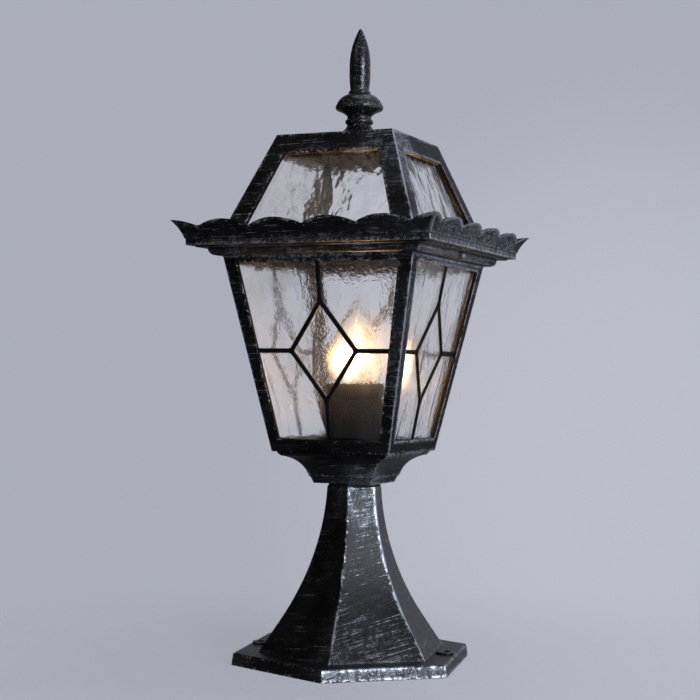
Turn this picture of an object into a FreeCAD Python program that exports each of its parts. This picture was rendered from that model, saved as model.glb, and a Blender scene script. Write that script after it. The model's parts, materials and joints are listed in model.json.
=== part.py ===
import FreeCAD, Part
import math
import os

# Pedestal garden lantern. Millimetres, Z up, origin at the centre of the foot plate's underside.
# The lantern is square, with its front towards -Y. The pedestal is a hexagon, turned on the lantern's axis.

Vec = FreeCAD.Vector
UP = Vec(0, 0, 1)
ORIGIN = Vec(0, 0, 0)
SIDES = ("front", "right", "back", "left")

# Clearances and fits
EASY_GAP = 0.3
SEAT_GAP = 0.1
THREAD_GAP = 0.1
OVERCUT = 1.0

# Pedestal casting
PLATE_FLATS = 138.0
PLATE_HEIGHT = 7.8
PLATE_DRAFT = 0.8
PLATE_EDGE = 0.8
COLUMN_HEIGHT = 107.2
COLUMN_FOOT_FLATS = 107.9
COLUMN_TOP_FLATS = 31.8
SHOULDER_HEIGHT = 2.5
SHOULDER_INSET = 1.7
FLARE_TOP_LEAN = 2.6
FLARE_FOOT_LEAN = 31.4
COLUMN_EDGE_ROUND = 0.9
PEDESTAL_WALL = 3.2
COLUMN_TOP_WALL = 4.5
PEDESTAL_TURN = 10.3
BOLT_CIRCLE = 122.0
BOLT_HOLE = 6.0
BOLT_BOSS = 12.0
BOLT_BOSS_HEIGHT = 1.2

# Cup under the lantern
CUP_FOOT_WIDTH = 39.8
CUP_NECK_WIDTH = 45.0
CUP_COVE_WIDTH = 71.8
CUP_RIM_WIDTH = 75.0
CUP_BEAD_HEIGHT = 4.8
CUP_COVE_HEIGHT = 12.9
CUP_COVE_HOLLOW = 2.9
CUP_BEAD_EDGE = 1.2
CUP_RIM_EDGE = 0.9
CUP_RIM_HEIGHT = 2.7
CUP_FLOOR = 3.5
CUP_BORE_FOOT = 33.0
CUP_BORE_MOUTH = 56.0

# Lantern body frame
BODY_FOOT_WIDTH = 80.6
BODY_HEAD_WIDTH = 128.8
BODY_HEIGHT = 123.0
BODY_WALL = 2.5
BODY_POST_FOOT = 7.3
BODY_POST_HEAD = 9.0
BODY_FOOT_RAIL = 8.1
BODY_HEAD_RAIL = 4.4
POST_EDGE_ROUND = 0.7
TRAY_THICKNESS = 3.0
SHELF_THICKNESS = 2.4
THROAT_LEDGE = 10.6
UPSTAND_WALL = 2.8
UPSTAND_HEIGHT = 5.4
UPSTAND_SETBACK = 3.8

# Eave moulding
OVOLO_LEDGE = 0.7
OVOLO_FLAT = 2.3
OVOLO_RADIUS = 3.7
OVOLO_FILLET = 1.0
SOFFIT_INNER = 5.7
SOFFIT_OUTER = 4.6
SOFFIT_STEP = 1.0
FASCIA_HEIGHT = 4.0
FASCIA_WALL = 2.4
LIP_STEP = 0.6
LIP_FLARE = 6.7
LIP_HEIGHT = 11.1
LIP_HOLLOW = 0.8
LIP_THICKNESS = 2.2
EAVE_PLATE = 3.0
SCALLOPS_PER_SIDE = 5
SCALLOP_DEPTH = 4.1

# Roof frame
ROOF_FOOT_OVERHANG = 2.9
ROOF_HEAD_WIDTH = 79.8
ROOF_HEIGHT = 69.8
ROOF_WALL = 2.5
ROOF_POST_FOOT = 13.8
ROOF_POST_HEAD = 12.5
ROOF_FOOT_RAIL = 8.8
ROOF_HEAD_RAIL = 12.7
ROOF_FLANGE = 4.0
CAP_RISE = 3.5
CAP_FLAT_WIDTH = 36.0
CAP_THICKNESS = 3.0

# Glazing
PANE_THICKNESS = 2.5
BODY_PANE_LAP = 1.6
ROOF_PANE_LAP = 2.5
CAME_WIDTH = 2.9
CAME_THICKNESS = 1.2
CAME_EDGE = 0.45
CAME_JOINT = 4.2
CAME_JOINT_PROUD = 0.2
DIAMOND_WIDTH = 44.0
DIAMOND_HEIGHT = 61.5
CLIP_WIDTH = 8.0
CLIP_THICKNESS = 0.8
CLIP_LEG = 5.5
CLIP_REACH = 6.5
CLIPS_PER_PANE = 2
CLIP_SPREAD = 0.5

# Finial
FINIAL_FOOT = 34.0
FINIAL_FOOT_EDGE = 0.6
FINIAL_FOOT_HEIGHT = 6.2
FINIAL_FOOT_HOLLOW = 1.8
FINIAL_NECK = 15.1
FINIAL_RING_HEIGHT = 3.5
FINIAL_RING_BULGE = 1.6
FINIAL_COLLAR = 15.8
FINIAL_COLLAR_HEIGHT = 1.4
FINIAL_THROAT = 14.4
SAUCER_UNDER = 28.0
SAUCER_UNDER_HEIGHT = 4.3
SAUCER_UNDER_HOLLOW = 0.5
SAUCER_RIM = 30.0
SAUCER_RIM_HEIGHT = 3.5
SAUCER_RIM_BULGE = 1.1
SAUCER_CROWN = 16.0
SAUCER_CROWN_HEIGHT = 6.8
SAUCER_CROWN_BULGE = 1.2
FINIAL_BEAD = 13.0
FINIAL_BEAD_HEIGHT = 2.9
FINIAL_BEAD_BULGE = 0.95
SPEAR_FOOT = 12.0
SPEAR_WAIST = 13.6
SPEAR_WAIST_HEIGHT = 14.2
SPEAR_WAIST_BULGE = 0.35
SPEAR_POINT = 1.8
SPEAR_POINT_HEIGHT = 25.6
SPEAR_POINT_BULGE = 1.75
SPEAR_TIP_HEIGHT = 0.6

# Lampholder and the hollow nipple that clamps holder, cup and column together
HOLDER_DIAMETER = 39.0
HOLDER_HEIGHT = 50.0
HOLDER_FOOT = 23.0
HOLDER_TAPER = 8.0
HOLDER_ENTRY = 2.4
HOLDER_CHAMBER = 13.0
HOLDER_INSULATOR = 7.0
HOLDER_MOUTH_ROUND = 1.2
HOLDER_RIBS = 24
HOLDER_RIB_DEPTH = 0.6
HOLDER_RIB_BAND = 10.0
SCREW_SHELL_WALL = 0.6
SCREW_SHELL_HEIGHT = 23.0
CONTACT_WIDTH = 4.0
CONTACT_SPAN = 12.0
CONTACT_ARCH = 7.2
CONTACT_RISE = 1.3
CONTACT_THICKNESS = 0.5
TERMINAL_POST = 3.8
TERMINAL_POST_LENGTH = 6.0
TERMINAL_POST_BORE = 3.0
NIPPLE_DIAMETER = 10.0
NIPPLE_BORE = 8.0
NIPPLE_TAIL = 13.5
NUT_FLATS = 14.0
NUT_HEIGHT = 3.5
WASHER_THICKNESS = 0.7
WASHER_DIAMETER = 20.0

# Bulb
CAP_DIAMETER = 26.2
CAP_WALL = 0.5
CAP_LENGTH = 23.5
INSULATOR_HEIGHT = 3.0
TIP_DIAMETER = 9.0
TIP_HEIGHT = 1.0
TIP_EDGE = 0.4
BULB_DIAMETER = 35.0
BULB_WALL = 0.9
BULB_BELLY_HEIGHT = 21.5
BULB_BELLY_BULGE = 1.6
BULB_SHOULDER = 15.2
BULB_SHOULDER_HEIGHT = 28.7
BULB_SHOULDER_BULGE = 2.0
BULB_POINT_HEIGHT = 13.2
BULB_POINT_HOLLOW = 0.5
BULB_TIP = 1.2
BULB_TIP_HEIGHT = 0.3
NECK_DEPTH = 6.0
STEM_TOP = 5.0
STEM_HEIGHT = 14.0
STEM_HOLLOW = 2.4
LEAD_DIAMETER = 0.9
LEAD_SPREAD = 9.0
LEAD_LENGTH = 15.0
FILAMENT_DIAMETER = 1.6
FILAMENT_RISE = 3.0

# Wiring under the lantern
STRAP_EYE = 17.0
STRAP_WIDTH = 8.0
STRAP_THICKNESS = 1.5
STRAP_OFFSET = 9.2
STRAP_DROP = 40.0
BLOCK_THICKNESS = 10.0
BLOCK_WIDTH = 22.0
BLOCK_HEIGHT = 16.0
BLOCK_POLES = 2
BLOCK_PITCH = 10.0
BLOCK_ENTRY_DEPTH = 8.0
BLOCK_WELL_DEPTH = 2.5
BLOCK_SCREW_GRIP = 4.0
WIRE_DIAMETER = 2.2
WIRE_SPACING = 5.0
WIRE_BEND = 4.0

# Screws: shank diameter, head diameter, head height
SMALL_SCREW = (2.5, 5.0, 1.8)
FRAME_SCREW = (4.0, 7.0, 2.4)
ROOF_SCREW = (2.8, 4.2, 3.3)
FINIAL_SCREW = (5.0, 9.0, 3.6)
SCREW_HEAD_EDGE = 0.6
FINIAL_SCREW_GRIP = 14.0
FINIAL_WASHER = 14.0
CUP_SCREW_SPACING = 60.0
CUP_SCREW_GRIP = 3.2
EAVE_SCREW_GRIP = 3.2
ROOF_CLIP_SCREW_GRIP = 2.4
EAVE_SCREW_INSET = 8.5

# Levels, from the ground up
COLUMN_TOP = PLATE_HEIGHT + COLUMN_HEIGHT
CUP_TOP = COLUMN_TOP + CUP_BEAD_HEIGHT + CUP_COVE_HEIGHT + CUP_RIM_HEIGHT
BODY_TOP = CUP_TOP + BODY_HEIGHT
TRAY_TOP = CUP_TOP + TRAY_THICKNESS
SHELF_UNDERSIDE = BODY_TOP - SHELF_THICKNESS
SOFFIT_LEVEL = BODY_TOP + OVOLO_RADIUS + OVOLO_FILLET
FASCIA_FOOT = SOFFIT_LEVEL + SOFFIT_STEP
FASCIA_TOP = FASCIA_FOOT + FASCIA_HEIGHT
RECESS_TOP = BODY_TOP + UPSTAND_HEIGHT + EASY_GAP
ROOF_SCREW_LEVEL = BODY_TOP + ROOF_SCREW[1] / 2 + 2 * SEAT_GAP
ROOF_FOOT = RECESS_TOP + EAVE_PLATE
FLANGE_TOP = ROOF_FOOT + ROOF_FLANGE
ROOF_TOP = ROOF_FOOT + ROOF_HEIGHT
CAP_UNDERSIDE = ROOF_TOP - CAP_THICKNESS
FINIAL_LEVEL = ROOF_TOP + CAP_RISE
HOLDER_FOOT_LEVEL = COLUMN_TOP + CUP_FLOOR + WASHER_THICKNESS
CHAMBER_FLOOR = HOLDER_FOOT_LEVEL + HOLDER_ENTRY
CHAMBER_TOP = CHAMBER_FLOOR + HOLDER_CHAMBER
SOCKET_FLOOR = CHAMBER_TOP + HOLDER_INSULATOR
HOLDER_TOP = HOLDER_FOOT_LEVEL + HOLDER_HEIGHT
CONTACT_TOP = SOCKET_FLOOR + SEAT_GAP + CONTACT_THICKNESS + CONTACT_RISE
TIP_LEVEL = CONTACT_TOP + EASY_GAP
INSULATOR_LEVEL = TIP_LEVEL + TIP_HEIGHT + SEAT_GAP
CAP_LEVEL = INSULATOR_LEVEL + INSULATOR_HEIGHT
CAP_TOP = CAP_LEVEL + CAP_LENGTH
COLUMN_CEILING = COLUMN_TOP - COLUMN_TOP_WALL
STRAP_TOP = COLUMN_CEILING - WASHER_THICKNESS
LOWER_NUT_TOP = STRAP_TOP - STRAP_THICKNESS
NIPPLE_FOOT = COLUMN_CEILING - NIPPLE_TAIL
BLOCK_TOP = STRAP_TOP - STRAP_DROP + BLOCK_HEIGHT

# Half widths that several pieces share
UPSTAND_HALF = BODY_HEAD_WIDTH / 2 - UPSTAND_SETBACK
RECESS_HALF = UPSTAND_HALF + EASY_GAP
ROOF_FOOT_HALF = BODY_HEAD_WIDTH / 2 + ROOF_FOOT_OVERHANG
THROAT_HALF = UPSTAND_HALF - THROAT_LEDGE
OVOLO_HALF = BODY_HEAD_WIDTH / 2 + OVOLO_LEDGE + OVOLO_FLAT + OVOLO_RADIUS
STEP_HALF = OVOLO_HALF + SOFFIT_INNER
FASCIA_HALF = STEP_HALF + SOFFIT_OUTER
LIP_FOOT_HALF = FASCIA_HALF + LIP_STEP
LIP_HALF = LIP_FOOT_HALF + LIP_FLARE
LIP_TOP = FASCIA_TOP + LIP_HEIGHT
REACH = 2 * max(LIP_HALF, PLATE_FLATS)
PEDESTAL_SIDES = 6


# Outlines: a point is (across, up), and a pair of points is an arc through the first to the second

def is_arc(step):
    return isinstance(step[0], tuple)


def outline_edges(steps):
    """Edges in the XZ plane along an open outline."""
    edges = []
    here = steps[0]
    for step in steps[1:]:
        start = Vec(here[0], 0, here[1])
        if is_arc(step):
            via, here = step
            arc = Part.Arc(start, Vec(via[0], 0, via[1]), Vec(here[0], 0, here[1]))
            edges.append(arc.toShape())
        else:
            here = step
            edges.append(Part.makeLine(start, Vec(here[0], 0, here[1])))
    return edges


def mirrored(steps):
    """The same outline on the other side of the axis."""
    flip = lambda point: (-point[0], point[1])
    return [(flip(s[0]), flip(s[1])) if is_arc(s) else flip(s) for s in steps]


def end_of(step):
    return step[1] if is_arc(step) else step


def bowed(start, end, bulge):
    """Arc step that swells to the right of its way, or to the left when bulge is negative."""
    across, up = end[0] - start[0], end[1] - start[1]
    chord = math.hypot(across, up)
    middle = ((start[0] + end[0]) / 2, (start[1] + end[1]) / 2)
    via = (middle[0] + bulge * up / chord, middle[1] - bulge * across / chord)
    return via, end


def bowed_run(start, *legs):
    """Outline through points, each given with the bulge of the leg that leads to it."""
    steps = [start]
    here = start
    for point, bulge in legs:
        steps.append(bowed(here, point, bulge) if bulge else point)
        here = point
    return steps


def ball_cap(radius, low, high):
    """Arc step from a rim at the lower level to the axis at the upper one, round like a ball."""
    rise = high - low
    ball = (radius ** 2 + rise ** 2) / (2 * rise)
    return (radius / 2, high - ball + math.sqrt(ball ** 2 - radius ** 2 / 4)), (0, high)


def turned(steps):
    """Solid of revolution about Z from a closed outline of (radius, level)."""
    face = Part.Face(Part.Wire(outline_edges(steps + [steps[0]])))
    return face.revolve(ORIGIN, UP, 360)


def mitred(steps, sides, turn=0.0):
    """Solid whose every side has the outline (half width, level), mitred at the corners."""
    flipped = mirrored(steps)
    foot, head = steps[0], end_of(steps[-1])
    closing = [
        Part.makeLine(Vec(-foot[0], 0, foot[1]), Vec(foot[0], 0, foot[1])),
        Part.makeLine(Vec(-head[0], 0, head[1]), Vec(head[0], 0, head[1])),
    ]
    edges = outline_edges(steps) + outline_edges(flipped) + closing
    face = Part.Face(Part.Wire(Part.__sortEdges__(edges)))
    slab = face.extrude(Vec(0, REACH, 0)).translated(Vec(0, -REACH / 2, 0))
    solid = slab.rotated(ORIGIN, UP, turn)
    for k in range(1, sides // 2):
        solid = solid.common(slab.rotated(ORIGIN, UP, turn + 360 / sides * k))
    return solid.removeSplitter()


def square_block(half, low, high):
    """Square prism on the axis."""
    return Part.makeBox(2 * half, 2 * half, high - low, Vec(-half, -half, low))


def rounded_corners(solid, radius):
    """Round the edges that run up the solid, not the level ones."""
    rising = [e for e in solid.Edges if abs(e.BoundBox.ZLength) > radius * 4]
    return solid.makeFillet(radius, rising)


def around(solid, count=4):
    """Copies of a solid, turned evenly about the axis."""
    return [solid.rotated(ORIGIN, UP, 360 / count * k) for k in range(count)]


def polar(radius, angle, level):
    bearing = math.radians(angle)
    return Vec(radius * math.cos(bearing), radius * math.sin(bearing), level)


def hexagon(flats, low, high):
    """Hexagonal prism on the axis, such as a nut."""
    corner = flats / 2 / math.cos(math.radians(30))
    points = [polar(corner, 60 * k, low) for k in range(7)]
    return Part.Face(Part.makePolygon(points)).extrude(Vec(0, 0, high - low))


def domed_screw(sizes, length):
    """Round-headed screw, head upwards, with the underside of its head at the origin."""
    shank, head, height = sizes
    return turned([
        (0, -length), (shank / 2, -length), (shank / 2, 0), (head / 2, 0),
        (head / 2, SCREW_HEAD_EDGE), ball_cap(head / 2, SCREW_HEAD_EDGE, height),
    ])


def hole_for(screw, low, high, gap):
    """Round cutter for a screw's shank along Z."""
    return Part.makeCylinder(screw[0] / 2 + gap, high - low, Vec(0, 0, low))


class Facet:
    """One sloping side of the lantern, from its foot up to its head, leaning out when lean is positive."""

    def __init__(self, foot_half, head_half, foot, head):
        self.foot_half = foot_half
        self.foot = foot
        self.slope = (head_half - foot_half) / (head - foot)
        self.lean = math.atan(self.slope)

    def half(self, level):
        return self.foot_half + self.slope * (level - self.foot)

    def inside(self, level, depth):
        """Half width of a surface that lies a depth behind the outer face."""
        return self.half(level) - depth / math.cos(self.lean)

    def up(self, level, depth=0.0):
        """Distance up the face from its foot to the point that has this level at a depth behind the face."""
        return (level - self.foot - depth * math.sin(self.lean)) / math.cos(self.lean)

    def level(self, up):
        return self.foot + up * math.cos(self.lean)

    def fixed(self, shape, side):
        """A shape drawn flat, X across, Y up the face and Z outward, set on one side of the lantern."""
        stand = FreeCAD.Rotation(Vec(1, 0, 0), 90 + math.degrees(self.lean))
        turn = FreeCAD.Placement(ORIGIN, FreeCAD.Rotation(UP, 90 * side))
        placed = shape.copy()
        placed.Placement = turn.multiply(FreeCAD.Placement(Vec(0, -self.foot_half, self.foot), stand))
        return placed


class Light:
    """A glazed opening in a facet, narrower than the facet by a post at each side."""

    def __init__(self, facet, low, high, post_low, post_high):
        self.facet = facet
        self.low = low
        self.high = high
        self.low_half = facet.half(low) - post_low
        self.slope = (facet.half(high) - post_high - self.low_half) / (high - low)

    def half(self, level):
        return self.low_half + self.slope * (level - self.low)

    def plate(self, foot, head, lap, back, front):
        """Flat plate over the opening, between two distances up the face and two depths behind it."""
        low = self.half(self.facet.level(foot)) + lap
        high = self.half(self.facet.level(head)) + lap
        corners = [(-low, foot), (low, foot), (high, head), (-high, head)]
        points = [Vec(across, up, -back) for across, up in corners]
        face = Part.Face(Part.makePolygon(points + points[:1]))
        return face.extrude(Vec(0, 0, back - front))

    def cutters(self, depth):
        """The opening itself on all four sides, right through the wall."""
        plate = self.plate(self.facet.up(self.low), self.facet.up(self.high), 0, depth, -depth)
        return [self.facet.fixed(plate, side) for side in range(4)]

    def panes(self, low, high, lap, back, front):
        """Four glass plates that stand between two levels and lap behind the posts."""
        foot = max(self.facet.up(low, front), self.facet.up(low, back))
        head = min(self.facet.up(high, front), self.facet.up(high, back))
        plate = self.plate(foot, head, lap, back, front)
        return [self.facet.fixed(plate, side) for side in range(4)]


BODY_FACET = Facet(BODY_FOOT_WIDTH / 2, BODY_HEAD_WIDTH / 2, CUP_TOP, BODY_TOP)
ROOF_FACET = Facet(ROOF_FOOT_HALF, ROOF_HEAD_WIDTH / 2, ROOF_FOOT, ROOF_TOP)
BODY_LIGHT = Light(
    BODY_FACET, CUP_TOP + BODY_FOOT_RAIL, BODY_TOP - BODY_HEAD_RAIL, BODY_POST_FOOT, BODY_POST_HEAD)
ROOF_LIGHT = Light(
    ROOF_FACET, ROOF_FOOT + ROOF_FOOT_RAIL, ROOF_TOP - ROOF_HEAD_RAIL, ROOF_POST_FOOT, ROOF_POST_HEAD)
BODY_PANE_FRONT = BODY_WALL + SEAT_GAP
BODY_PANE_BACK = BODY_PANE_FRONT + PANE_THICKNESS
ROOF_PANE_FRONT = ROOF_WALL + SEAT_GAP
ROOF_PANE_BACK = ROOF_PANE_FRONT + PANE_THICKNESS


# Pedestal

def flare(inset):
    """Half-flats outline of the column from its foot up: a straight skirt, then an arc to the slim top."""
    foot_lean = math.radians(FLARE_FOOT_LEAN)
    top_lean = math.radians(FLARE_TOP_LEAN)
    run = COLUMN_HEIGHT - SHOULDER_HEIGHT
    spread = (COLUMN_FOOT_FLATS - COLUMN_TOP_FLATS) / 2
    widening = math.cos(top_lean) - math.cos(foot_lean)
    falling = math.sin(foot_lean) - math.sin(top_lean)
    radius = (spread - run * math.tan(foot_lean)) / (widening - falling * math.tan(foot_lean))
    top = (COLUMN_TOP_FLATS / 2, COLUMN_TOP - SHOULDER_HEIGHT)

    def on_arc(lean):
        across = top[0] + radius * (math.cos(top_lean) - math.cos(lean)) - inset * math.cos(lean)
        level = top[1] - radius * (math.sin(lean) - math.sin(top_lean)) - inset * math.sin(lean)
        return across, level

    def on_skirt(level):
        join = on_arc(foot_lean)
        return join[0] + (join[1] - level) * math.tan(foot_lean), level

    arc = (on_arc((foot_lean + top_lean) / 2), on_arc(top_lean))
    return on_skirt, [on_arc(foot_lean), arc]


def bolt_places():
    return [polar(BOLT_CIRCLE / 2, PEDESTAL_TURN + half_turn, 0) for half_turn in (0, 180)]


def pedestal():
    """Foot plate and flared column in one hollow casting, open underneath."""
    skirt, curve = flare(0)
    shoulder = (COLUMN_TOP_FLATS / 2 - SHOULDER_INSET, COLUMN_TOP)
    column = mitred([skirt(PLATE_HEIGHT / 2)] + curve + [shoulder], PEDESTAL_SIDES, PEDESTAL_TURN)
    column = rounded_corners(column, COLUMN_EDGE_ROUND)
    half = PLATE_FLATS / 2
    plate = mitred([
        (half, 0),
        (half - PLATE_DRAFT, PLATE_HEIGHT - PLATE_EDGE),
        (half - PLATE_DRAFT - PLATE_EDGE, PLATE_HEIGHT),
    ], PEDESTAL_SIDES, PEDESTAL_TURN)
    body = plate.fuse(column)
    for place in bolt_places():
        body = body.fuse(Part.makeCylinder(BOLT_BOSS / 2, PLATE_HEIGHT + BOLT_BOSS_HEIGHT, place))
    skirt, curve = flare(PEDESTAL_WALL)
    cavity = mitred([skirt(-PEDESTAL_WALL)] + curve, PEDESTAL_SIDES, PEDESTAL_TURN)
    cavity = cavity.common(square_block(PLATE_FLATS, -PLATE_HEIGHT, COLUMN_CEILING))
    body = body.cut(cavity)
    for place in bolt_places():
        hole = Part.makeCylinder(BOLT_HOLE / 2, PLATE_HEIGHT + 2 * BOLT_BOSS_HEIGHT, place)
        body = body.cut(hole)
    passage = Part.makeCylinder(NIPPLE_DIAMETER / 2 + EASY_GAP, COLUMN_TOP)
    return body.cut(passage).removeSplitter()


# Cup

def cup():
    """Square moulded cup with a coved side and a round bore for the lampholder."""
    bead_top = COLUMN_TOP + CUP_BEAD_HEIGHT
    cove_top = bead_top + CUP_COVE_HEIGHT
    neck, rim = CUP_NECK_WIDTH / 2, CUP_RIM_WIDTH / 2
    outside = mitred(bowed_run(
        (CUP_FOOT_WIDTH / 2, COLUMN_TOP),
        ((neck - CUP_BEAD_EDGE, bead_top - CUP_BEAD_EDGE), 0),
        ((neck, bead_top), 0),
        ((CUP_COVE_WIDTH / 2, cove_top), -CUP_COVE_HOLLOW),
        ((rim, CUP_TOP - CUP_RIM_EDGE), 0),
        ((rim, CUP_TOP), 0),
    ), 4)
    floor = COLUMN_TOP + CUP_FLOOR
    bore = turned([(0, floor), (CUP_BORE_FOOT / 2, floor), (CUP_BORE_MOUTH / 2, CUP_TOP), (0, CUP_TOP)])
    passage = Part.makeCylinder(NIPPLE_DIAMETER / 2 + EASY_GAP, CUP_TOP)
    body = outside.cut(bore).cut(passage)
    pilot = hole_for(FRAME_SCREW, CUP_TOP - CUP_SCREW_GRIP - THREAD_GAP, CUP_TOP, THREAD_GAP)
    for place in cup_screw_places():
        body = body.cut(pilot.translated(place))
    return body


def cup_screw_places():
    half = CUP_SCREW_SPACING / 2
    return [Vec(x * half, y * half, 0) for x in (-1, 1) for y in (-1, 1)]


def cup_screws():
    """Four screws that hold the body's tray down on the cup."""
    screw = domed_screw(FRAME_SCREW, TRAY_THICKNESS + CUP_SCREW_GRIP)
    return Part.makeCompound([screw.translated(place + Vec(0, 0, TRAY_TOP)) for place in cup_screw_places()])


# Lantern body

def body_frame():
    """Tapered casting: posts, rails, a tray floor, and a shelf whose upstand locates the eave."""
    facet = BODY_FACET
    outside = mitred([(facet.half(CUP_TOP), CUP_TOP), (facet.half(BODY_TOP), BODY_TOP)], 4)
    outside = rounded_corners(outside, POST_EDGE_ROUND)
    inside = mitred([
        (facet.inside(TRAY_TOP, BODY_WALL), TRAY_TOP),
        (facet.inside(SHELF_UNDERSIDE, BODY_WALL), SHELF_UNDERSIDE),
    ], 4)
    upstand = square_block(UPSTAND_HALF, SHELF_UNDERSIDE, BODY_TOP + UPSTAND_HEIGHT)
    hollow = square_block(UPSTAND_HALF - UPSTAND_WALL, BODY_TOP, BODY_TOP + 2 * UPSTAND_HEIGHT)
    body = outside.cut(inside).fuse(upstand).cut(hollow)
    body = body.cut(square_block(THROAT_HALF, SHELF_UNDERSIDE - SHELF_THICKNESS, BODY_TOP + UPSTAND_HEIGHT))
    tray_hole = HOLDER_DIAMETER / 2 + HOLDER_MOUTH_ROUND + EASY_GAP
    body = body.cut(Part.makeCylinder(tray_hole, 2 * TRAY_THICKNESS, Vec(0, 0, CUP_TOP - TRAY_THICKNESS)))
    for cutter in BODY_LIGHT.cutters(2 * BODY_WALL):
        body = body.cut(cutter)
    tray_bore = hole_for(FRAME_SCREW, CUP_TOP - OVERCUT, TRAY_TOP + OVERCUT, EASY_GAP)
    for place in cup_screw_places():
        body = body.cut(tray_bore.translated(place))
    for cutter in roof_screw_cutters(THREAD_GAP):
        body = body.cut(cutter)
    clip_bore = hole_for(SMALL_SCREW, SHELF_UNDERSIDE - OVERCUT, BODY_TOP + OVERCUT, THREAD_GAP)
    for place in clip_places(BODY_LIGHT, SHELF_UNDERSIDE, BODY_PANE_BACK):
        body = body.cut(clip_bore.translated(place))
    return body.removeSplitter()


def body_panes():
    return BODY_LIGHT.panes(
        TRAY_TOP + SEAT_GAP, SHELF_UNDERSIDE - SEAT_GAP, BODY_PANE_LAP, BODY_PANE_BACK, BODY_PANE_FRONT)


# Came lattice on each body pane

def came_bar(start, end):
    """Strip with eased edges between two points of the pane, lying on the plane Z = 0."""
    along = end - start
    half = CAME_WIDTH / 2
    section = [(-half, 0), (half, 0), (half, CAME_THICKNESS - CAME_EDGE), (half - CAME_EDGE, CAME_THICKNESS),
               (CAME_EDGE - half, CAME_THICKNESS), (-half, CAME_THICKNESS - CAME_EDGE)]
    points = [Vec(0, across, out) for across, out in section]
    bar = Part.Face(Part.makePolygon(points + points[:1])).extrude(Vec(along.Length, 0, 0))
    bar = bar.rotated(ORIGIN, UP, math.degrees(math.atan2(along.y, along.x)))
    return bar.translated(start)


def came_joint(place):
    """Round soldered joint where bars meet."""
    radius, top = CAME_JOINT / 2, CAME_THICKNESS + CAME_JOINT_PROUD
    joint = turned([(0, 0), (radius, 0), (radius, top - CAME_EDGE), (radius - CAME_EDGE, top), (0, top)])
    return joint.translated(place)


def came_lattice():
    """Diamond in the middle of the pane, with a bar from each of its corners to the frame."""
    facet, light = BODY_FACET, BODY_LIGHT
    middle = (facet.up(light.low) + facet.up(light.high)) / 2
    tall, wide = DIAMOND_HEIGHT / 2 / math.cos(facet.lean), DIAMOND_WIDTH / 2
    corners = [
        Vec(0, middle + tall, 0), Vec(wide, middle, 0), Vec(0, middle - tall, 0), Vec(-wide, middle, 0),
    ]
    far = facet.half(light.high)
    ends = [Vec(0, facet.up(BODY_TOP), 0), Vec(far, middle, 0), Vec(0, 0, 0), Vec(-far, middle, 0)]
    pieces = [came_joint(corner) for corner in corners[1:]]
    for k in range(4):
        pieces.append(came_bar(corners[k], corners[(k + 1) % 4]))
        pieces.append(came_bar(corners[k], ends[k]))
    lattice = came_joint(corners[0]).multiFuse(pieces)
    opening = light.plate(
        facet.up(light.low) + EASY_GAP, facet.up(light.high) - EASY_GAP, -EASY_GAP, 0, -2 * CAME_THICKNESS)
    strips = lattice.common(opening).removeSplitter().translated(Vec(0, 0, -BODY_PANE_FRONT))
    return Part.makeCompound(strips.Solids)


def cames():
    lattice = came_lattice()
    return [BODY_FACET.fixed(lattice, side) for side in range(4)]


# Clips that hold the panes

def clip_offsets(light, level):
    """Places along a pane for its clips."""
    reach = light.half(level) * CLIP_SPREAD
    return [reach * (2 * k / (CLIPS_PER_PANE - 1) - 1) for k in range(CLIPS_PER_PANE)]


def clip_places(light, level, depth):
    """Screw places of all clips on a level flange, on the four sides."""
    back = light.facet.inside(level, depth + CLIP_THICKNESS) - CLIP_REACH / 2 - CLIP_THICKNESS
    row = [Vec(across, -back, 0) for across in clip_offsets(light, level)]
    return [FreeCAD.Rotation(UP, 90 * side).multVec(place) for side in range(4) for place in row]


def pane_clips(light, level, depth, rise):
    """Bent strips: one leg along the flange, one along the pane, upwards or downwards by the sign of rise."""
    facet = light.facet
    back = depth + SEAT_GAP
    low, high = sorted((level + rise * SEAT_GAP, level + rise * (CLIP_THICKNESS + SEAT_GAP)))
    clips = []
    for across in clip_offsets(light, level):
        left = across - CLIP_WIDTH / 2
        tip = facet.up(level + rise * (CLIP_LEG + SEAT_GAP))
        root = facet.up(level + rise * SEAT_GAP)
        leg = Part.makeBox(CLIP_WIDTH, abs(tip - root), CLIP_THICKNESS,
                           Vec(left, min(tip, root), -back - CLIP_THICKNESS))
        leg = facet.fixed(leg, 0)
        flange_end = facet.inside(level, back + CLIP_THICKNESS / 2)
        flange = Part.makeBox(CLIP_WIDTH, CLIP_REACH + CLIP_THICKNESS, high - low,
                              Vec(left, -flange_end, low))
        reach = sorted((level + rise * SEAT_GAP, level + rise * 2 * CLIP_LEG))
        room = square_block(REACH / 2, *reach)
        clip = leg.common(room).fuse(flange.cut(front_of(facet, back))).removeSplitter()
        bore = hole_for(SMALL_SCREW, low - OVERCUT, high + OVERCUT, EASY_GAP)
        centre = facet.inside(level, depth + CLIP_THICKNESS) - CLIP_REACH / 2 - CLIP_THICKNESS
        clips += around(clip.cut(bore.translated(Vec(across, -centre, 0))))
    return Part.makeCompound(clips)


def front_of(facet, depth):
    """Everything on the front side that lies ahead of a plane behind the outer face."""
    slab = Part.makeBox(REACH, REACH, REACH, Vec(-REACH / 2, -REACH / 2, -depth))
    return facet.fixed(slab, 0)


def clip_screws(light, level, depth, rise, grip):
    """Screws through the clips into the flange, heads towards the clip's free side."""
    screw = domed_screw(SMALL_SCREW, grip + CLIP_THICKNESS)
    if rise < 0:
        screw = screw.rotated(ORIGIN, Vec(1, 0, 0), 180)
    seat = level + rise * (CLIP_THICKNESS + 2 * SEAT_GAP)
    places = clip_places(light, level, depth)
    return Part.makeCompound([screw.translated(place + Vec(0, 0, seat)) for place in places])


# Eave

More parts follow.
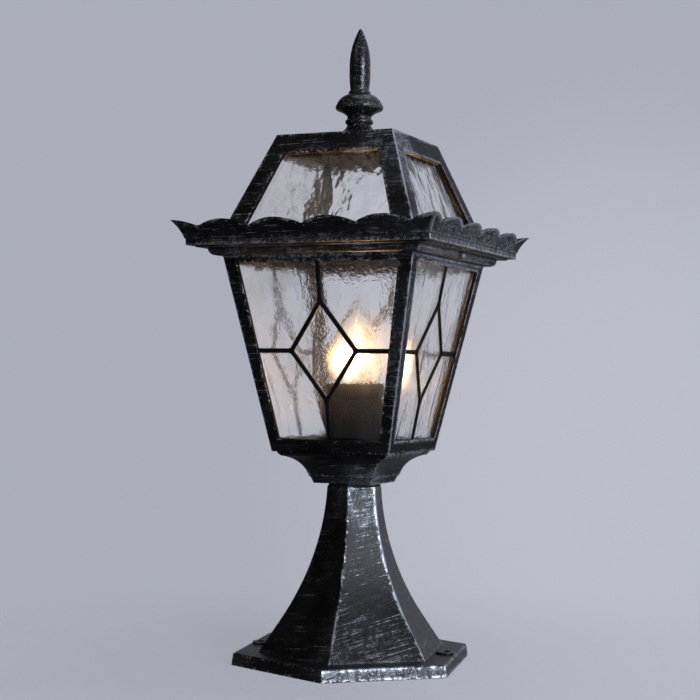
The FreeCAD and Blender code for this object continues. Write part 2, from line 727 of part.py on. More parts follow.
def lip(inset):
    """Foot and hollow of the flared lip, on its outer face or a thickness behind it."""
    chord = math.hypot(LIP_FLARE, LIP_HEIGHT)
    across, up = inset * LIP_HEIGHT / chord, inset * LIP_FLARE / chord
    foot = (LIP_FOOT_HALF - across, FASCIA_TOP + up)
    tip = (LIP_HALF - across, LIP_TOP + up)
    return foot, bowed(foot, tip, -LIP_HOLLOW)


def scallop_cutter():
    """All above the front lip's wavy edge: arches that meet in sharp dips, a peak at each corner."""
    pitch = 2 * LIP_HALF / SCALLOPS_PER_SIDE
    dip = LIP_TOP - SCALLOP_DEPTH
    radius = (pitch ** 2 / 4 + SCALLOP_DEPTH ** 2) / (2 * SCALLOP_DEPTH)
    quarter = LIP_TOP - radius + math.sqrt(radius ** 2 - pitch ** 2 / 16)
    start = -LIP_HALF
    steps = [(start, LIP_TOP), ((start + pitch / 4, quarter), (start + pitch / 2, dip))]
    for k in range(1, SCALLOPS_PER_SIDE):
        peak = start + k * pitch
        steps.append(((peak, LIP_TOP), (peak + pitch / 2, dip)))
    steps.append(((-start - pitch / 4, quarter), (-start, LIP_TOP)))
    clear = LIP_TOP + LIP_HEIGHT
    steps += [(-start, clear), (start, clear), (start, LIP_TOP)]
    face = Part.Face(Part.Wire(outline_edges(steps)))
    return face.extrude(Vec(0, LIP_FLARE + LIP_STEP + FASCIA_WALL, 0)).translated(Vec(0, -LIP_HALF, 0))


def eave():
    """Mitred moulding: ovolo, stepped soffit, fascia, and a scalloped flared lip round a gutter."""
    ledge = BODY_HEAD_WIDTH / 2 + OVOLO_LEDGE
    bend = OVOLO_RADIUS * math.sqrt(0.5)
    ovolo_via = (OVOLO_HALF - OVOLO_RADIUS + bend, BODY_TOP + OVOLO_RADIUS - bend)
    lip_foot, lip_face = lip(0)
    outside = mitred([
        (ledge, BODY_TOP), (ledge + OVOLO_FLAT, BODY_TOP),
        (ovolo_via, (OVOLO_HALF, BODY_TOP + OVOLO_RADIUS)), (OVOLO_HALF, SOFFIT_LEVEL),
        (STEP_HALF, SOFFIT_LEVEL), (STEP_HALF, FASCIA_FOOT), (FASCIA_HALF, FASCIA_FOOT),
        (FASCIA_HALF, FASCIA_TOP), lip_foot, lip_face,
    ], 4)
    back_foot, back_face = lip(LIP_THICKNESS)
    gutter = mitred([
        (FASCIA_HALF - FASCIA_WALL, ROOF_FOOT), back_foot, back_face,
        (end_of(back_face)[0], LIP_TOP + LIP_HEIGHT),
    ], 4)
    body = outside.cut(gutter)
    body = body.cut(square_block(RECESS_HALF, BODY_TOP - OVERCUT, RECESS_TOP))
    body = body.cut(square_block(THROAT_HALF, BODY_TOP, ROOF_FOOT + OVERCUT))
    for cutter in around(scallop_cutter()):
        body = body.cut(cutter)
    for pad in roof_screw_pads():
        body = body.fuse(pad)
    for cutter in roof_screw_cutters(EASY_GAP):
        body = body.cut(cutter)
    eave_bore = hole_for(FRAME_SCREW, BODY_TOP, ROOF_FOOT + OVERCUT, EASY_GAP)
    for place in eave_screw_places():
        body = body.cut(eave_bore.translated(place))
    return body.removeSplitter()


# Roof fixing screws, level, one on the right and one on the left, through the eave into the body's upstand

def on_right_and_left(shape):
    """A shape drawn along Z, laid along +X and -X at the level of the roof screws."""
    right = shape.rotated(ORIGIN, Vec(0, 1, 0), 90).translated(Vec(0, 0, ROOF_SCREW_LEVEL))
    return [right, right.rotated(ORIGIN, UP, 180)]


def roof_screw_pads():
    radius = ROOF_SCREW[1] / 2
    pad = Part.makeCylinder(radius, OVOLO_HALF - RECESS_HALF, Vec(0, 0, RECESS_HALF))
    return on_right_and_left(pad)


def roof_screw_cutters(gap):
    start = UPSTAND_HALF - 2 * UPSTAND_WALL
    return on_right_and_left(hole_for(ROOF_SCREW, start, OVOLO_HALF + OVERCUT, gap))


def roof_fixing_screws():
    seat = OVOLO_HALF + SEAT_GAP
    screw = domed_screw(ROOF_SCREW, seat - UPSTAND_HALF + UPSTAND_WALL)
    return Part.makeCompound(on_right_and_left(screw.translated(Vec(0, 0, seat))))


# Roof

def eave_screw_places():
    half = RECESS_HALF - EAVE_SCREW_INSET
    return [Vec(x * half, y * half, 0) for x in (-1, 1) for y in (-1, 1)]


def eave_screws():
    """Four screws from below, through the eave's plate into the roof's flange."""
    screw = domed_screw(FRAME_SCREW, EAVE_PLATE + EAVE_SCREW_GRIP).rotated(ORIGIN, Vec(1, 0, 0), 180)
    seat = Vec(0, 0, RECESS_TOP - SEAT_GAP)
    return Part.makeCompound([screw.translated(place + seat) for place in eave_screw_places()])


def roof_frame():
    """Pyramid casting: flange, four posts, head rail and a shallow cap."""
    facet = ROOF_FACET
    outside = mitred([(facet.half(ROOF_FOOT), ROOF_FOOT), (facet.half(ROOF_TOP), ROOF_TOP)], 4)
    outside = rounded_corners(outside, POST_EDGE_ROUND)
    cap_half = facet.half(ROOF_TOP) - POST_EDGE_ROUND
    cap = mitred([
        (cap_half, ROOF_TOP - CAP_THICKNESS), (cap_half, ROOF_TOP), (CAP_FLAT_WIDTH / 2, FINIAL_LEVEL),
    ], 4)
    inside = mitred([
        (facet.inside(FLANGE_TOP, ROOF_WALL), FLANGE_TOP),
        (facet.inside(CAP_UNDERSIDE, ROOF_WALL), CAP_UNDERSIDE),
    ], 4)
    body = outside.fuse(cap).cut(inside)
    body = body.cut(square_block(THROAT_HALF, ROOF_FOOT - OVERCUT, FLANGE_TOP + OVERCUT))
    for cutter in ROOF_LIGHT.cutters(2 * ROOF_WALL):
        body = body.cut(cutter)
    eave_pilot = hole_for(FRAME_SCREW, ROOF_FOOT - OVERCUT, FLANGE_TOP, THREAD_GAP)
    for place in eave_screw_places():
        body = body.cut(eave_pilot.translated(place))
    clip_pilot = hole_for(SMALL_SCREW, ROOF_FOOT + OVERCUT, FLANGE_TOP + OVERCUT, THREAD_GAP)
    for place in clip_places(ROOF_LIGHT, FLANGE_TOP, ROOF_PANE_BACK):
        body = body.cut(clip_pilot.translated(place))
    body = body.cut(hole_for(FINIAL_SCREW, CAP_UNDERSIDE - OVERCUT, FINIAL_LEVEL + OVERCUT, EASY_GAP))
    return body.removeSplitter()


def roof_panes():
    head = ROOF_LIGHT.high + ROOF_PANE_LAP
    return ROOF_LIGHT.panes(FLANGE_TOP + SEAT_GAP, head, ROOF_PANE_LAP, ROOF_PANE_BACK, ROOF_PANE_FRONT)


# Finial

def finial():
    """Turned finial: coved foot, ring and collar, saucer with a round rim, bead and a spear."""
    neck = FINIAL_NECK / 2
    foot_edge = FINIAL_LEVEL + FINIAL_FOOT_EDGE
    ring_foot = foot_edge + FINIAL_FOOT_HEIGHT
    collar_foot = ring_foot + FINIAL_RING_HEIGHT
    collar_top = collar_foot + FINIAL_COLLAR_HEIGHT
    rim_foot = collar_top + SAUCER_UNDER_HEIGHT
    rim_top = rim_foot + SAUCER_RIM_HEIGHT
    crown_top = rim_top + SAUCER_CROWN_HEIGHT
    bead_top = crown_top + FINIAL_BEAD_HEIGHT
    waist = bead_top + SPEAR_WAIST_HEIGHT
    point = waist + SPEAR_POINT_HEIGHT
    outline = bowed_run(
        (0, FINIAL_LEVEL),
        ((FINIAL_FOOT / 2, FINIAL_LEVEL), 0),
        ((FINIAL_FOOT / 2, foot_edge), 0),
        ((neck, ring_foot), -FINIAL_FOOT_HOLLOW),
        ((neck, collar_foot), FINIAL_RING_BULGE),
        ((FINIAL_COLLAR / 2, collar_foot), 0),
        ((FINIAL_COLLAR / 2, collar_top), 0),
        ((FINIAL_THROAT / 2, collar_top), 0),
        ((SAUCER_UNDER / 2, rim_foot), -SAUCER_UNDER_HOLLOW),
        ((SAUCER_RIM / 2, rim_top), SAUCER_RIM_BULGE),
        ((SAUCER_CROWN / 2, crown_top), SAUCER_CROWN_BULGE),
        ((FINIAL_BEAD / 2, crown_top), 0),
        ((SPEAR_FOOT / 2, bead_top), FINIAL_BEAD_BULGE),
        ((SPEAR_WAIST / 2, waist), SPEAR_WAIST_BULGE),
        ((SPEAR_POINT / 2, point), SPEAR_POINT_BULGE),
    )
    outline.append(ball_cap(SPEAR_POINT / 2, point, point + SPEAR_TIP_HEIGHT))
    depth = FINIAL_LEVEL + FINIAL_SCREW_GRIP + EASY_GAP
    return turned(outline).cut(hole_for(FINIAL_SCREW, FINIAL_LEVEL - OVERCUT, depth, THREAD_GAP))


def finial_screw():
    seat = CAP_UNDERSIDE - WASHER_THICKNESS
    head = hexagon(FINIAL_SCREW[1], seat - FINIAL_SCREW[2], seat)
    shank = Part.makeCylinder(FINIAL_SCREW[0] / 2, FINIAL_LEVEL + FINIAL_SCREW_GRIP - seat, Vec(0, 0, seat))
    return head.fuse(shank)


def washer(diameter, bore, top):
    foot = top - WASHER_THICKNESS
    ring = Part.makeCylinder(diameter / 2, WASHER_THICKNESS, Vec(0, 0, foot))
    return ring.cut(Part.makeCylinder(bore / 2, WASHER_THICKNESS + 2 * OVERCUT, Vec(0, 0, foot - OVERCUT)))


# Lampholder

def lampholder_housing():
    """Moulded housing: tapered foot, ribbed grip, wiring chamber below and socket above."""
    outer, foot = HOLDER_DIAMETER / 2, HOLDER_FOOT / 2
    taper_top = HOLDER_FOOT_LEVEL + HOLDER_TAPER
    entry = NIPPLE_DIAMETER / 2 + THREAD_GAP
    socket = CAP_DIAMETER / 2 + 2 * EASY_GAP + SCREW_SHELL_WALL
    chamber = foot - HOLDER_ENTRY
    outside = turned([
        (0, HOLDER_FOOT_LEVEL), (foot, HOLDER_FOOT_LEVEL), (outer, taper_top),
        (outer, HOLDER_TOP - HOLDER_MOUTH_ROUND), (outer - HOLDER_MOUTH_ROUND, HOLDER_TOP), (0, HOLDER_TOP),
    ])
    rib_foot = HOLDER_TOP - 2 * HOLDER_RIB_BAND
    groove = Part.makeCylinder(HOLDER_RIB_DEPTH, HOLDER_RIB_BAND, Vec(outer, 0, rib_foot))
    body = outside.cut(Part.makeCompound(around(groove, HOLDER_RIBS)))
    body = body.cut(Part.makeCylinder(entry, HOLDER_HEIGHT, Vec(0, 0, CHAMBER_TOP - HOLDER_HEIGHT)))
    body = body.cut(Part.makeCylinder(chamber, HOLDER_CHAMBER, Vec(0, 0, CHAMBER_FLOOR)))
    return body.cut(Part.makeCylinder(socket, HOLDER_HEIGHT, Vec(0, 0, SOCKET_FLOOR)))


def lampholder_shell():
    """Thin screw shell with an inward flange on the socket floor."""
    inner = CAP_DIAMETER / 2 + EASY_GAP
    outer = inner + SCREW_SHELL_WALL
    foot = SOCKET_FLOOR + SEAT_GAP
    flange = CONTACT_SPAN / 2 + 2 * EASY_GAP
    return turned([
        (flange, foot), (outer, foot), (outer, foot + SCREW_SHELL_HEIGHT), (inner, foot + SCREW_SHELL_HEIGHT),
        (inner, foot + SCREW_SHELL_WALL), (flange, foot + SCREW_SHELL_WALL),
    ])


def lampholder_contact():
    """Sprung centre contact, an arched strip on the socket floor."""
    half, foot = CONTACT_SPAN / 2, SOCKET_FLOOR + SEAT_GAP
    flat = CONTACT_ARCH / 2
    top = foot + CONTACT_THICKNESS
    steps = [
        (-half, foot), (-flat, foot), ((0, foot + CONTACT_RISE), (flat, foot)), (half, foot),
        (half, top), (flat, top), ((0, top + CONTACT_RISE), (-flat, top)), (-half, top), (-half, foot),
    ]
    strip = Part.Face(Part.Wire(outline_edges(steps))).extrude(Vec(0, CONTACT_WIDTH, 0))
    return strip.translated(Vec(0, -CONTACT_WIDTH / 2, 0))


def lampholder_terminals():
    """Two posts under the insulating floor, bored for the wire ends."""
    foot = CHAMBER_TOP - TERMINAL_POST_LENGTH
    post = Part.makeCylinder(TERMINAL_POST / 2, TERMINAL_POST_LENGTH, Vec(0, 0, foot))
    bore_radius = WIRE_DIAMETER / 2 + SEAT_GAP
    post = post.cut(Part.makeCylinder(bore_radius, TERMINAL_POST_BORE + OVERCUT, Vec(0, 0, foot - OVERCUT)))
    return Part.makeCompound([post.translated(Vec(0, side * WIRE_SPACING / 2, 0)) for side in (-1, 1)])


# Nipple, nuts and washers

def nipple():
    length = CHAMBER_FLOOR + NUT_HEIGHT + WASHER_THICKNESS - NIPPLE_FOOT
    tube = Part.makeCylinder(NIPPLE_DIAMETER / 2, length, Vec(0, 0, NIPPLE_FOOT))
    bore = Part.makeCylinder(NIPPLE_BORE / 2, length + 2 * OVERCUT, Vec(0, 0, NIPPLE_FOOT - OVERCUT))
    return tube.cut(bore)


def nut(foot):
    body = hexagon(NUT_FLATS, foot, foot + NUT_HEIGHT)
    bore = NIPPLE_DIAMETER / 2 + THREAD_GAP
    return body.cut(Part.makeCylinder(bore, NUT_HEIGHT + 2 * OVERCUT, Vec(0, 0, foot - OVERCUT)))


# Strap, terminal block and wires inside the column

def terminal_strap():
    """Strip clamped by the lower nut, bent down beside it to carry the terminal block."""
    half = STRAP_WIDTH / 2
    outer = STRAP_OFFSET + STRAP_THICKNESS
    eye = Part.makeCylinder(STRAP_EYE / 2, STRAP_THICKNESS, Vec(0, 0, LOWER_NUT_TOP))
    level = Part.makeBox(outer, STRAP_WIDTH, STRAP_THICKNESS, Vec(0, -half, LOWER_NUT_TOP))
    drop_foot = Vec(STRAP_OFFSET, -half, STRAP_TOP - STRAP_DROP)
    drop = Part.makeBox(STRAP_THICKNESS, STRAP_WIDTH, STRAP_DROP, drop_foot)
    bore = NIPPLE_DIAMETER / 2 + EASY_GAP
    passage = Part.makeCylinder(bore, STRAP_THICKNESS + 2 * OVERCUT, Vec(0, 0, LOWER_NUT_TOP - OVERCUT))
    screw_hole = along_x(hole_for(SMALL_SCREW, STRAP_OFFSET - OVERCUT, outer + OVERCUT, EASY_GAP))
    return eye.fuse(level).fuse(drop).cut(passage).cut(screw_hole).removeSplitter()


def along_x(shape):
    """A shape drawn along Z, laid along X at the terminal block's middle."""
    return shape.rotated(ORIGIN, Vec(0, 1, 0), 90).translated(Vec(0, 0, BLOCK_TOP - BLOCK_HEIGHT / 2))


def pole_offsets():
    return [BLOCK_PITCH * (k - (BLOCK_POLES - 1) / 2) for k in range(BLOCK_POLES)]


def block_middle():
    return STRAP_OFFSET - SEAT_GAP - BLOCK_THICKNESS / 2


def terminal_block():
    """Moulded two-pole block with wire entries on top and screw wells on its free face."""
    face = STRAP_OFFSET - SEAT_GAP
    free_face = face - BLOCK_THICKNESS
    corner = Vec(free_face, -BLOCK_WIDTH / 2, BLOCK_TOP - BLOCK_HEIGHT)
    body = Part.makeBox(BLOCK_THICKNESS, BLOCK_WIDTH, BLOCK_HEIGHT, corner)
    entry_foot = Vec(block_middle(), 0, BLOCK_TOP - BLOCK_ENTRY_DEPTH)
    entry = Part.makeCylinder(WIRE_DIAMETER / 2 + SEAT_GAP, BLOCK_HEIGHT, entry_foot)
    well_radius = SMALL_SCREW[1] / 2 + EASY_GAP
    well = along_x(Part.makeCylinder(well_radius, BLOCK_WELL_DEPTH, Vec(0, 0, free_face)))
    for across in pole_offsets():
        body = body.cut(entry.translated(Vec(0, across, 0))).cut(well.translated(Vec(0, across, 0)))
    bore = along_x(hole_for(SMALL_SCREW, face - BLOCK_SCREW_GRIP - SEAT_GAP, face + OVERCUT, THREAD_GAP))
    return body.cut(bore)


def terminal_screws():
    """Clamp screws in the block's wells."""
    screws = []
    seat = STRAP_OFFSET - 2 * SEAT_GAP - BLOCK_THICKNESS + BLOCK_WELL_DEPTH
    disc = along_x(Part.makeCylinder(SMALL_SCREW[1] / 2, SMALL_SCREW[2], Vec(0, 0, seat - SMALL_SCREW[2])))
    for across in pole_offsets():
        screws.append(disc.translated(Vec(0, across, 0)))
    return Part.makeCompound(screws)


def block_screw():
    """Screw through the strap into the block."""
    seat = STRAP_OFFSET + STRAP_THICKNESS + SEAT_GAP
    return along_x(domed_screw(SMALL_SCREW, STRAP_THICKNESS + BLOCK_SCREW_GRIP).translated(Vec(0, 0, seat)))


def wire(side):
    """Inner wire from the block, up through the nipple, to a terminal post: straight runs and two arcs."""
    top = CHAMBER_TOP - TERMINAL_POST_LENGTH + TERMINAL_POST_BORE - SEAT_GAP
    route = [
        Vec(block_middle(), side * BLOCK_PITCH / 2, BLOCK_TOP - BLOCK_ENTRY_DEPTH + SEAT_GAP),
        Vec(block_middle(), side * BLOCK_PITCH / 2, BLOCK_TOP + WIRE_BEND),
        Vec(0, side * WIRE_SPACING / 2, NIPPLE_FOOT - WIRE_BEND / 2),
        Vec(0, side * WIRE_SPACING / 2, top),
    ]
    edges = []
    here = route[0]
    for before, corner, after in zip(route, route[1:], route[2:]):
        back = (before - corner).normalize()
        ahead = (after - corner).normalize()
        turn = math.pi - back.getAngle(ahead)
        cut = WIRE_BEND * math.tan(turn / 2)
        middle = (back + ahead).normalize() * (WIRE_BEND / math.cos(turn / 2) - WIRE_BEND)
        start, end = corner + back * cut, corner + ahead * cut
        edges += [Part.makeLine(here, start), Part.Arc(start, corner + middle, end).toShape()]
        here = end
    edges.append(Part.makeLine(here, route[-1]))
    section = Part.Wire(Part.makeCircle(WIRE_DIAMETER / 2, route[0], UP))
    return Part.Wire(edges).makePipeShell([section], True, True)


# Bulb

def bulb_outline(inset):
    """Candle envelope from its neck to its tip, or its inner face a wall further in."""
    neck = CAP_DIAMETER / 2 - CAP_WALL - EASY_GAP - inset
    belly = CAP_TOP + BULB_BELLY_HEIGHT
    shoulder = belly + BULB_SHOULDER_HEIGHT - inset
    point = shoulder + BULB_POINT_HEIGHT - inset
    return bowed_run(
        (neck, CAP_TOP - NECK_DEPTH),
        ((neck, CAP_TOP), 0),
        ((BULB_DIAMETER / 2 - inset, belly), BULB_BELLY_BULGE),
        ((BULB_SHOULDER / 2 - inset, shoulder), BULB_SHOULDER_BULGE),
        ((BULB_TIP / 2, point), -BULB_POINT_HOLLOW),
        ((0, point + BULB_TIP_HEIGHT), 0),
    )


def bulb_glass():
    foot = CAP_TOP - NECK_DEPTH
    outside = turned([(0, foot)] + bulb_outline(0))
    return outside.cut(turned([(0, foot)] + bulb_outline(BULB_WALL)))


def bulb_cap():
    """Screw cap: a thin shell, open at the top round the neck."""
    outer = CAP_DIAMETER / 2
    inner = outer - CAP_WALL
    return turned([
        (TIP_DIAMETER / 2, CAP_LEVEL), (outer, CAP_LEVEL), (outer, CAP_TOP), (inner, CAP_TOP),
        (inner, CAP_LEVEL + CAP_WALL), (TIP_DIAMETER / 2, CAP_LEVEL + CAP_WALL),
    ])


def bulb_insulator():
    return turned([
        (0, INSULATOR_LEVEL), (TIP_DIAMETER / 2, INSULATOR_LEVEL), (CAP_DIAMETER / 2 - CAP_WALL, CAP_LEVEL),
        (0, CAP_LEVEL),
    ])


def bulb_tip():
    radius = TIP_DIAMETER / 2
    top = TIP_LEVEL + TIP_HEIGHT
    crown = ball_cap(radius, TIP_LEVEL, top - TIP_EDGE)
    dome = turned([(0, TIP_LEVEL - TIP_EDGE), (radius, TIP_LEVEL - TIP_EDGE), (radius, TIP_LEVEL), crown])
    return dome.rotated(Vec(0, 0, (TIP_LEVEL - TIP_EDGE + top) / 2), Vec(1, 0, 0), 180)


def bulb_stem():
    """Glass mount that carries the lead wires, standing in the neck."""
    foot = CAP_TOP - NECK_DEPTH
    base = (CAP_DIAMETER / 2 - CAP_WALL - 2 * EASY_GAP - BULB_WALL, foot)
    top = (STEM_TOP / 2, foot + STEM_HEIGHT)
    return turned([
        (0, foot), base, bowed(base, top, -STEM_HOLLOW), (0, foot + STEM_HEIGHT),
    ])


def lead_tops():
    foot = CAP_TOP - NECK_DEPTH + STEM_HEIGHT
    return [Vec(side * LEAD_SPREAD, 0, foot + LEAD_LENGTH) for side in (-1, 1)]


def bulb_leads():
    """Two lead wires that spread from the stem's top."""
    foot = Vec(0, 0, CAP_TOP - NECK_DEPTH + STEM_HEIGHT + EASY_GAP)
    leads = []
    for top in lead_tops():
        start = foot + Vec(math.copysign(STEM_TOP / 2 - LEAD_DIAMETER, top.x), 0, 0)
        leads.append(Part.makeCylinder(LEAD_DIAMETER / 2, (top - start).Length, start, top - start))
    return Part.makeCompound(leads)


def filament():
    """Coil between the lead wires, as one bowed rod."""
    rest = Vec(0, 0, LEAD_DIAMETER / 2 + FILAMENT_DIAMETER / 2 + SEAT_GAP)
    left, right = [top + rest for top in lead_tops()]
    crown = (left + right) * 0.5 + Vec(0, 0, FILAMENT_RISE)
    bow = Part.Arc(left, crown, right)
    section = Part.Wire(Part.makeCircle(FILAMENT_DIAMETER / 2, left, bow.tangent(bow.FirstParameter)[0]))
    return Part.Wire([bow.toShape()]).makePipeShell([section], True, True)


def all_pieces():
    """Every piece under its node name."""
    pieces = {
        "pedestal": pedestal(),
        "cup": cup(),
        "cup_screws": cup_screws(),
        "body_frame": body_frame(),
        "body_pane_clips": pane_clips(BODY_LIGHT, SHELF_UNDERSIDE, BODY_PANE_BACK, -1),
        "body_clip_screws": clip_screws(BODY_LIGHT, SHELF_UNDERSIDE, BODY_PANE_BACK, -1, SHELF_THICKNESS),
        "eave": eave(),
        "roof_fixing_screws": roof_fixing_screws(),
        "eave_screws": eave_screws(),
        "roof_frame": roof_frame(),
        "roof_pane_clips": pane_clips(ROOF_LIGHT, FLANGE_TOP, ROOF_PANE_BACK, 1),
        "roof_clip_screws": clip_screws(ROOF_LIGHT, FLANGE_TOP, ROOF_PANE_BACK, 1, ROOF_CLIP_SCREW_GRIP),
        "finial": finial(),
        "finial_screw": finial_screw(),
        "finial_washer": washer(FINIAL_WASHER, FINIAL_SCREW[0] + 2 * EASY_GAP, CAP_UNDERSIDE),
        "lampholder_housing": lampholder_housing(),
        "lampholder_shell": lampholder_shell(),
        "lampholder_contact": lampholder_contact(),
        "lampholder_terminals": lampholder_terminals(),
        "nipple": nipple(),
        "holder_nut": nut(CHAMBER_FLOOR),
        "holder_washer": washer(WASHER_DIAMETER, NIPPLE_DIAMETER + 2 * EASY_GAP, HOLDER_FOOT_LEVEL),
        "column_nut": nut(LOWER_NUT_TOP - NUT_HEIGHT),
        "column_washer": washer(WASHER_DIAMETER, NIPPLE_DIAMETER + 2 * EASY_GAP, COLUMN_CEILING),
        "terminal_strap": terminal_strap(),
        "terminal_block": terminal_block(),
        "terminal_screws": terminal_screws(),
        "block_screw": block_screw(),
        "live_wire": wire(1),
        "neutral_wire": wire(-1),
        "bulb_glass": bulb_glass(),
        "bulb_cap": bulb_cap(),
        "bulb_insulator": bulb_insulator(),
        "bulb_tip": bulb_tip(),
        "bulb_stem": bulb_stem(),
        "bulb_leads": bulb_leads(),
        "filament": filament(),
    }
    for side, body_pane, came, roof_pane in zip(SIDES, body_panes(), cames(), roof_panes()):
        pieces["body_pane_" + side] = body_pane
        pieces["came_" + side] = came
        pieces["roof_pane_" + side] = roof_pane
    return pieces


os.makedirs("parts", exist_ok=True)
for name, shape in all_pieces().items():
    shape.exportStep("parts/" + name + ".step")
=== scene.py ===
import json
import math

import bpy
import numpy as np
from mathutils import Matrix, Vector, noise

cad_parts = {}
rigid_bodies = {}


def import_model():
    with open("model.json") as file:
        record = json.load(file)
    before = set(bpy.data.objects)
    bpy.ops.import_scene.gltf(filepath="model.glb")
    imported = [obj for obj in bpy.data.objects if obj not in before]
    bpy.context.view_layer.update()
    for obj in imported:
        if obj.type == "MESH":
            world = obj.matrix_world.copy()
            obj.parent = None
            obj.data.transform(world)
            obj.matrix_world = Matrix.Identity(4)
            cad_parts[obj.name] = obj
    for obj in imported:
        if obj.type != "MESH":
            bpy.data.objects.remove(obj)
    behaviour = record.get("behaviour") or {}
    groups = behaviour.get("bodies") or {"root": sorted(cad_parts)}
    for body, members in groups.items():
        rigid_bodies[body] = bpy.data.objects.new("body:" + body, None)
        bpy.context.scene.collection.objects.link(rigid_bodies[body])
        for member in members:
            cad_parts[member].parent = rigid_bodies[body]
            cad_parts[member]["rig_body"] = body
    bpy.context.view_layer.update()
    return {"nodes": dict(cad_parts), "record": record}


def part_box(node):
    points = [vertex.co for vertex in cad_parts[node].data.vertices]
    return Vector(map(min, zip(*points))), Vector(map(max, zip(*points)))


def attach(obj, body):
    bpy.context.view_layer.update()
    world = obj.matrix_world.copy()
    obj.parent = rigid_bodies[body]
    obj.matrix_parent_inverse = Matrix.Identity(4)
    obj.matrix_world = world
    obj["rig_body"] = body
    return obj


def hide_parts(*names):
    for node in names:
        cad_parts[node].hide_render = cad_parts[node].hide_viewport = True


# Looks of the pedestal garden lantern, dressed round its CAD frame. Metres, Z up, front towards -Y.

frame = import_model()
NODES = frame["nodes"]
SLOT_OF = {part["node"]: part["material_slot"] for part in frame["record"]["subparts"]}
MM = 0.001
SIDES = ("front", "right", "back", "left")

# Camera, at the photograph's viewing angle
CAMERA_AZIMUTH = math.radians(23.93)
CAMERA_PITCH = math.radians(0.94)
CAMERA_ROLL = math.radians(0.77)
CAMERA_DISTANCE = 0.9935
CAMERA_SIDESTEP = -0.00407
CAMERA_HEIGHT = 0.1844
CAMERA_CLIP = 0.05
FOCAL_PIXELS = 1530.0
FRAME_PIXELS = 700.0
SENSOR_WIDTH = 36.0

# Colours of the studio, linear
BACKDROP = (0.407, 0.423, 0.485, 1.0)
BACKDROP_POOL = (0.5, 0.512, 0.578, 1.0)
STUDIO_DARK = (0.02, 0.0125, 0.0105, 1.0)
STUDIO_FLOOR = (0.08, 0.083, 0.094, 1.0)
STUDIO_AMBIENT = (0.5, 0.52, 0.58, 1.0)
FLOOR_PAPER = (0.72, 0.73, 0.79, 1.0)
FLOOR_PALE = (0.76, 0.77, 0.83, 1.0)
SOFTBOX_COOL = (0.85, 0.92, 1.0)
SOFTBOX_PALE = (0.9, 0.95, 1.0)
SOFTBOX_WARM = (1.0, 0.9, 0.82)

# Colours of the lantern, linear
BLACK_PAINT = (0.0038, 0.003, 0.0029, 1.0)
WORN_PAINT = (0.008, 0.0078, 0.0085, 1.0)
# Painted shade: the castings' inside faces are coloured darker than the outside
SHADED_INSIDE_PAINT = (0.003, 0.0021, 0.0017, 1.0)
SILVER = (0.64, 0.66, 0.74, 1.0)
PANE_GLASS = (0.99, 0.995, 0.995, 1.0)
BULB_GLASS = (0.995, 0.995, 0.99, 1.0)
DUST_FILM = (0.8, 0.8, 0.8, 1.0)
ZINC = (0.55, 0.56, 0.57, 1.0)
DULL_ZINC = (0.09, 0.09, 0.095, 1.0)
BRASS = (0.72, 0.52, 0.24, 1.0)
NICKEL = (0.76, 0.75, 0.72, 1.0)
SOLDER = (0.6, 0.6, 0.61, 1.0)
LEAD = (0.5, 0.47, 0.43, 1.0)
HOLDER_BLACK = (0.002, 0.002, 0.002, 1.0)
GLAZE_BLACK = (0.012, 0.012, 0.014, 1.0)
BLOCK_IVORY = (0.74, 0.72, 0.67, 1.0)
LIVE_BROWN = (0.16, 0.06, 0.025, 1.0)
NEUTRAL_BLUE = (0.03, 0.09, 0.33, 1.0)
TUNGSTEN = (0.3, 0.3, 0.3, 1.0)
WARM_GLOW = (1.0, 0.6, 0.28, 1.0)
HOT_GLOW = (1.0, 0.8, 0.5, 1.0)
WARM_HALO = (1.0, 0.56, 0.22)

# Places where the silver was brushed on more heavily: x, y, z, reach level, reach up, strength
BRUSHED = (
    (0.046, -0.054, 0.004, 0.06, 0.0075, 0.86),
    (-0.02, 0.066, 0.004, 0.06, 0.0075, 0.9),
    (-0.06, -0.03, 0.004, 0.04, 0.0075, 0.7),
    (0.015, -0.02, 0.108, 0.028, 0.035, 0.8),
    (0.016, -0.028, 0.07, 0.03, 0.085, 0.25),
    (0.032, -0.042, 0.016, 0.04, 0.028, 0.4),
    (0.09, 0.0, 0.272, 0.12, 0.03, 0.48),
    (0.0, -0.09, 0.262, 0.1, 0.009, 0.5),
    (-0.03, 0.09, 0.272, 0.09, 0.03, 0.5),
    (0.008, -0.004, 0.38, 0.02, 0.03, 0.3),
    (0.04, -0.036, 0.315, 0.034, 0.045, 0.55),
    (0.06, -0.05, 0.2, 0.026, 0.06, 0.45),
)

# Places where edges are chipped back further
CHIPPED = (
    (0.0, -0.05, 0.026, 0.016, 0.022, 1.0),
    (0.021, -0.012, 0.088, 0.011, 0.04, 0.9),
    (0.036, -0.021, 0.04, 0.016, 0.04, 0.9),
    (0.03, 0.03, 0.05, 0.03, 0.05, 0.6),
    (-0.04, 0.0, 0.03, 0.03, 0.03, 0.8),
    (0.075, -0.075, 0.2, 0.02, 0.09, 0.5),
    (0.09, -0.09, 0.27, 0.02, 0.02, 1.0),
)

# Places that the brush hardly reached
SPARED = (
    (0.0, -0.024, 0.09, 0.011, 0.05, 1.0),
    (-0.002, -0.036, 0.05, 0.013, 0.028, 1.0),
    (-0.01, -0.045, 0.14, 0.055, 0.02, 0.8),
)

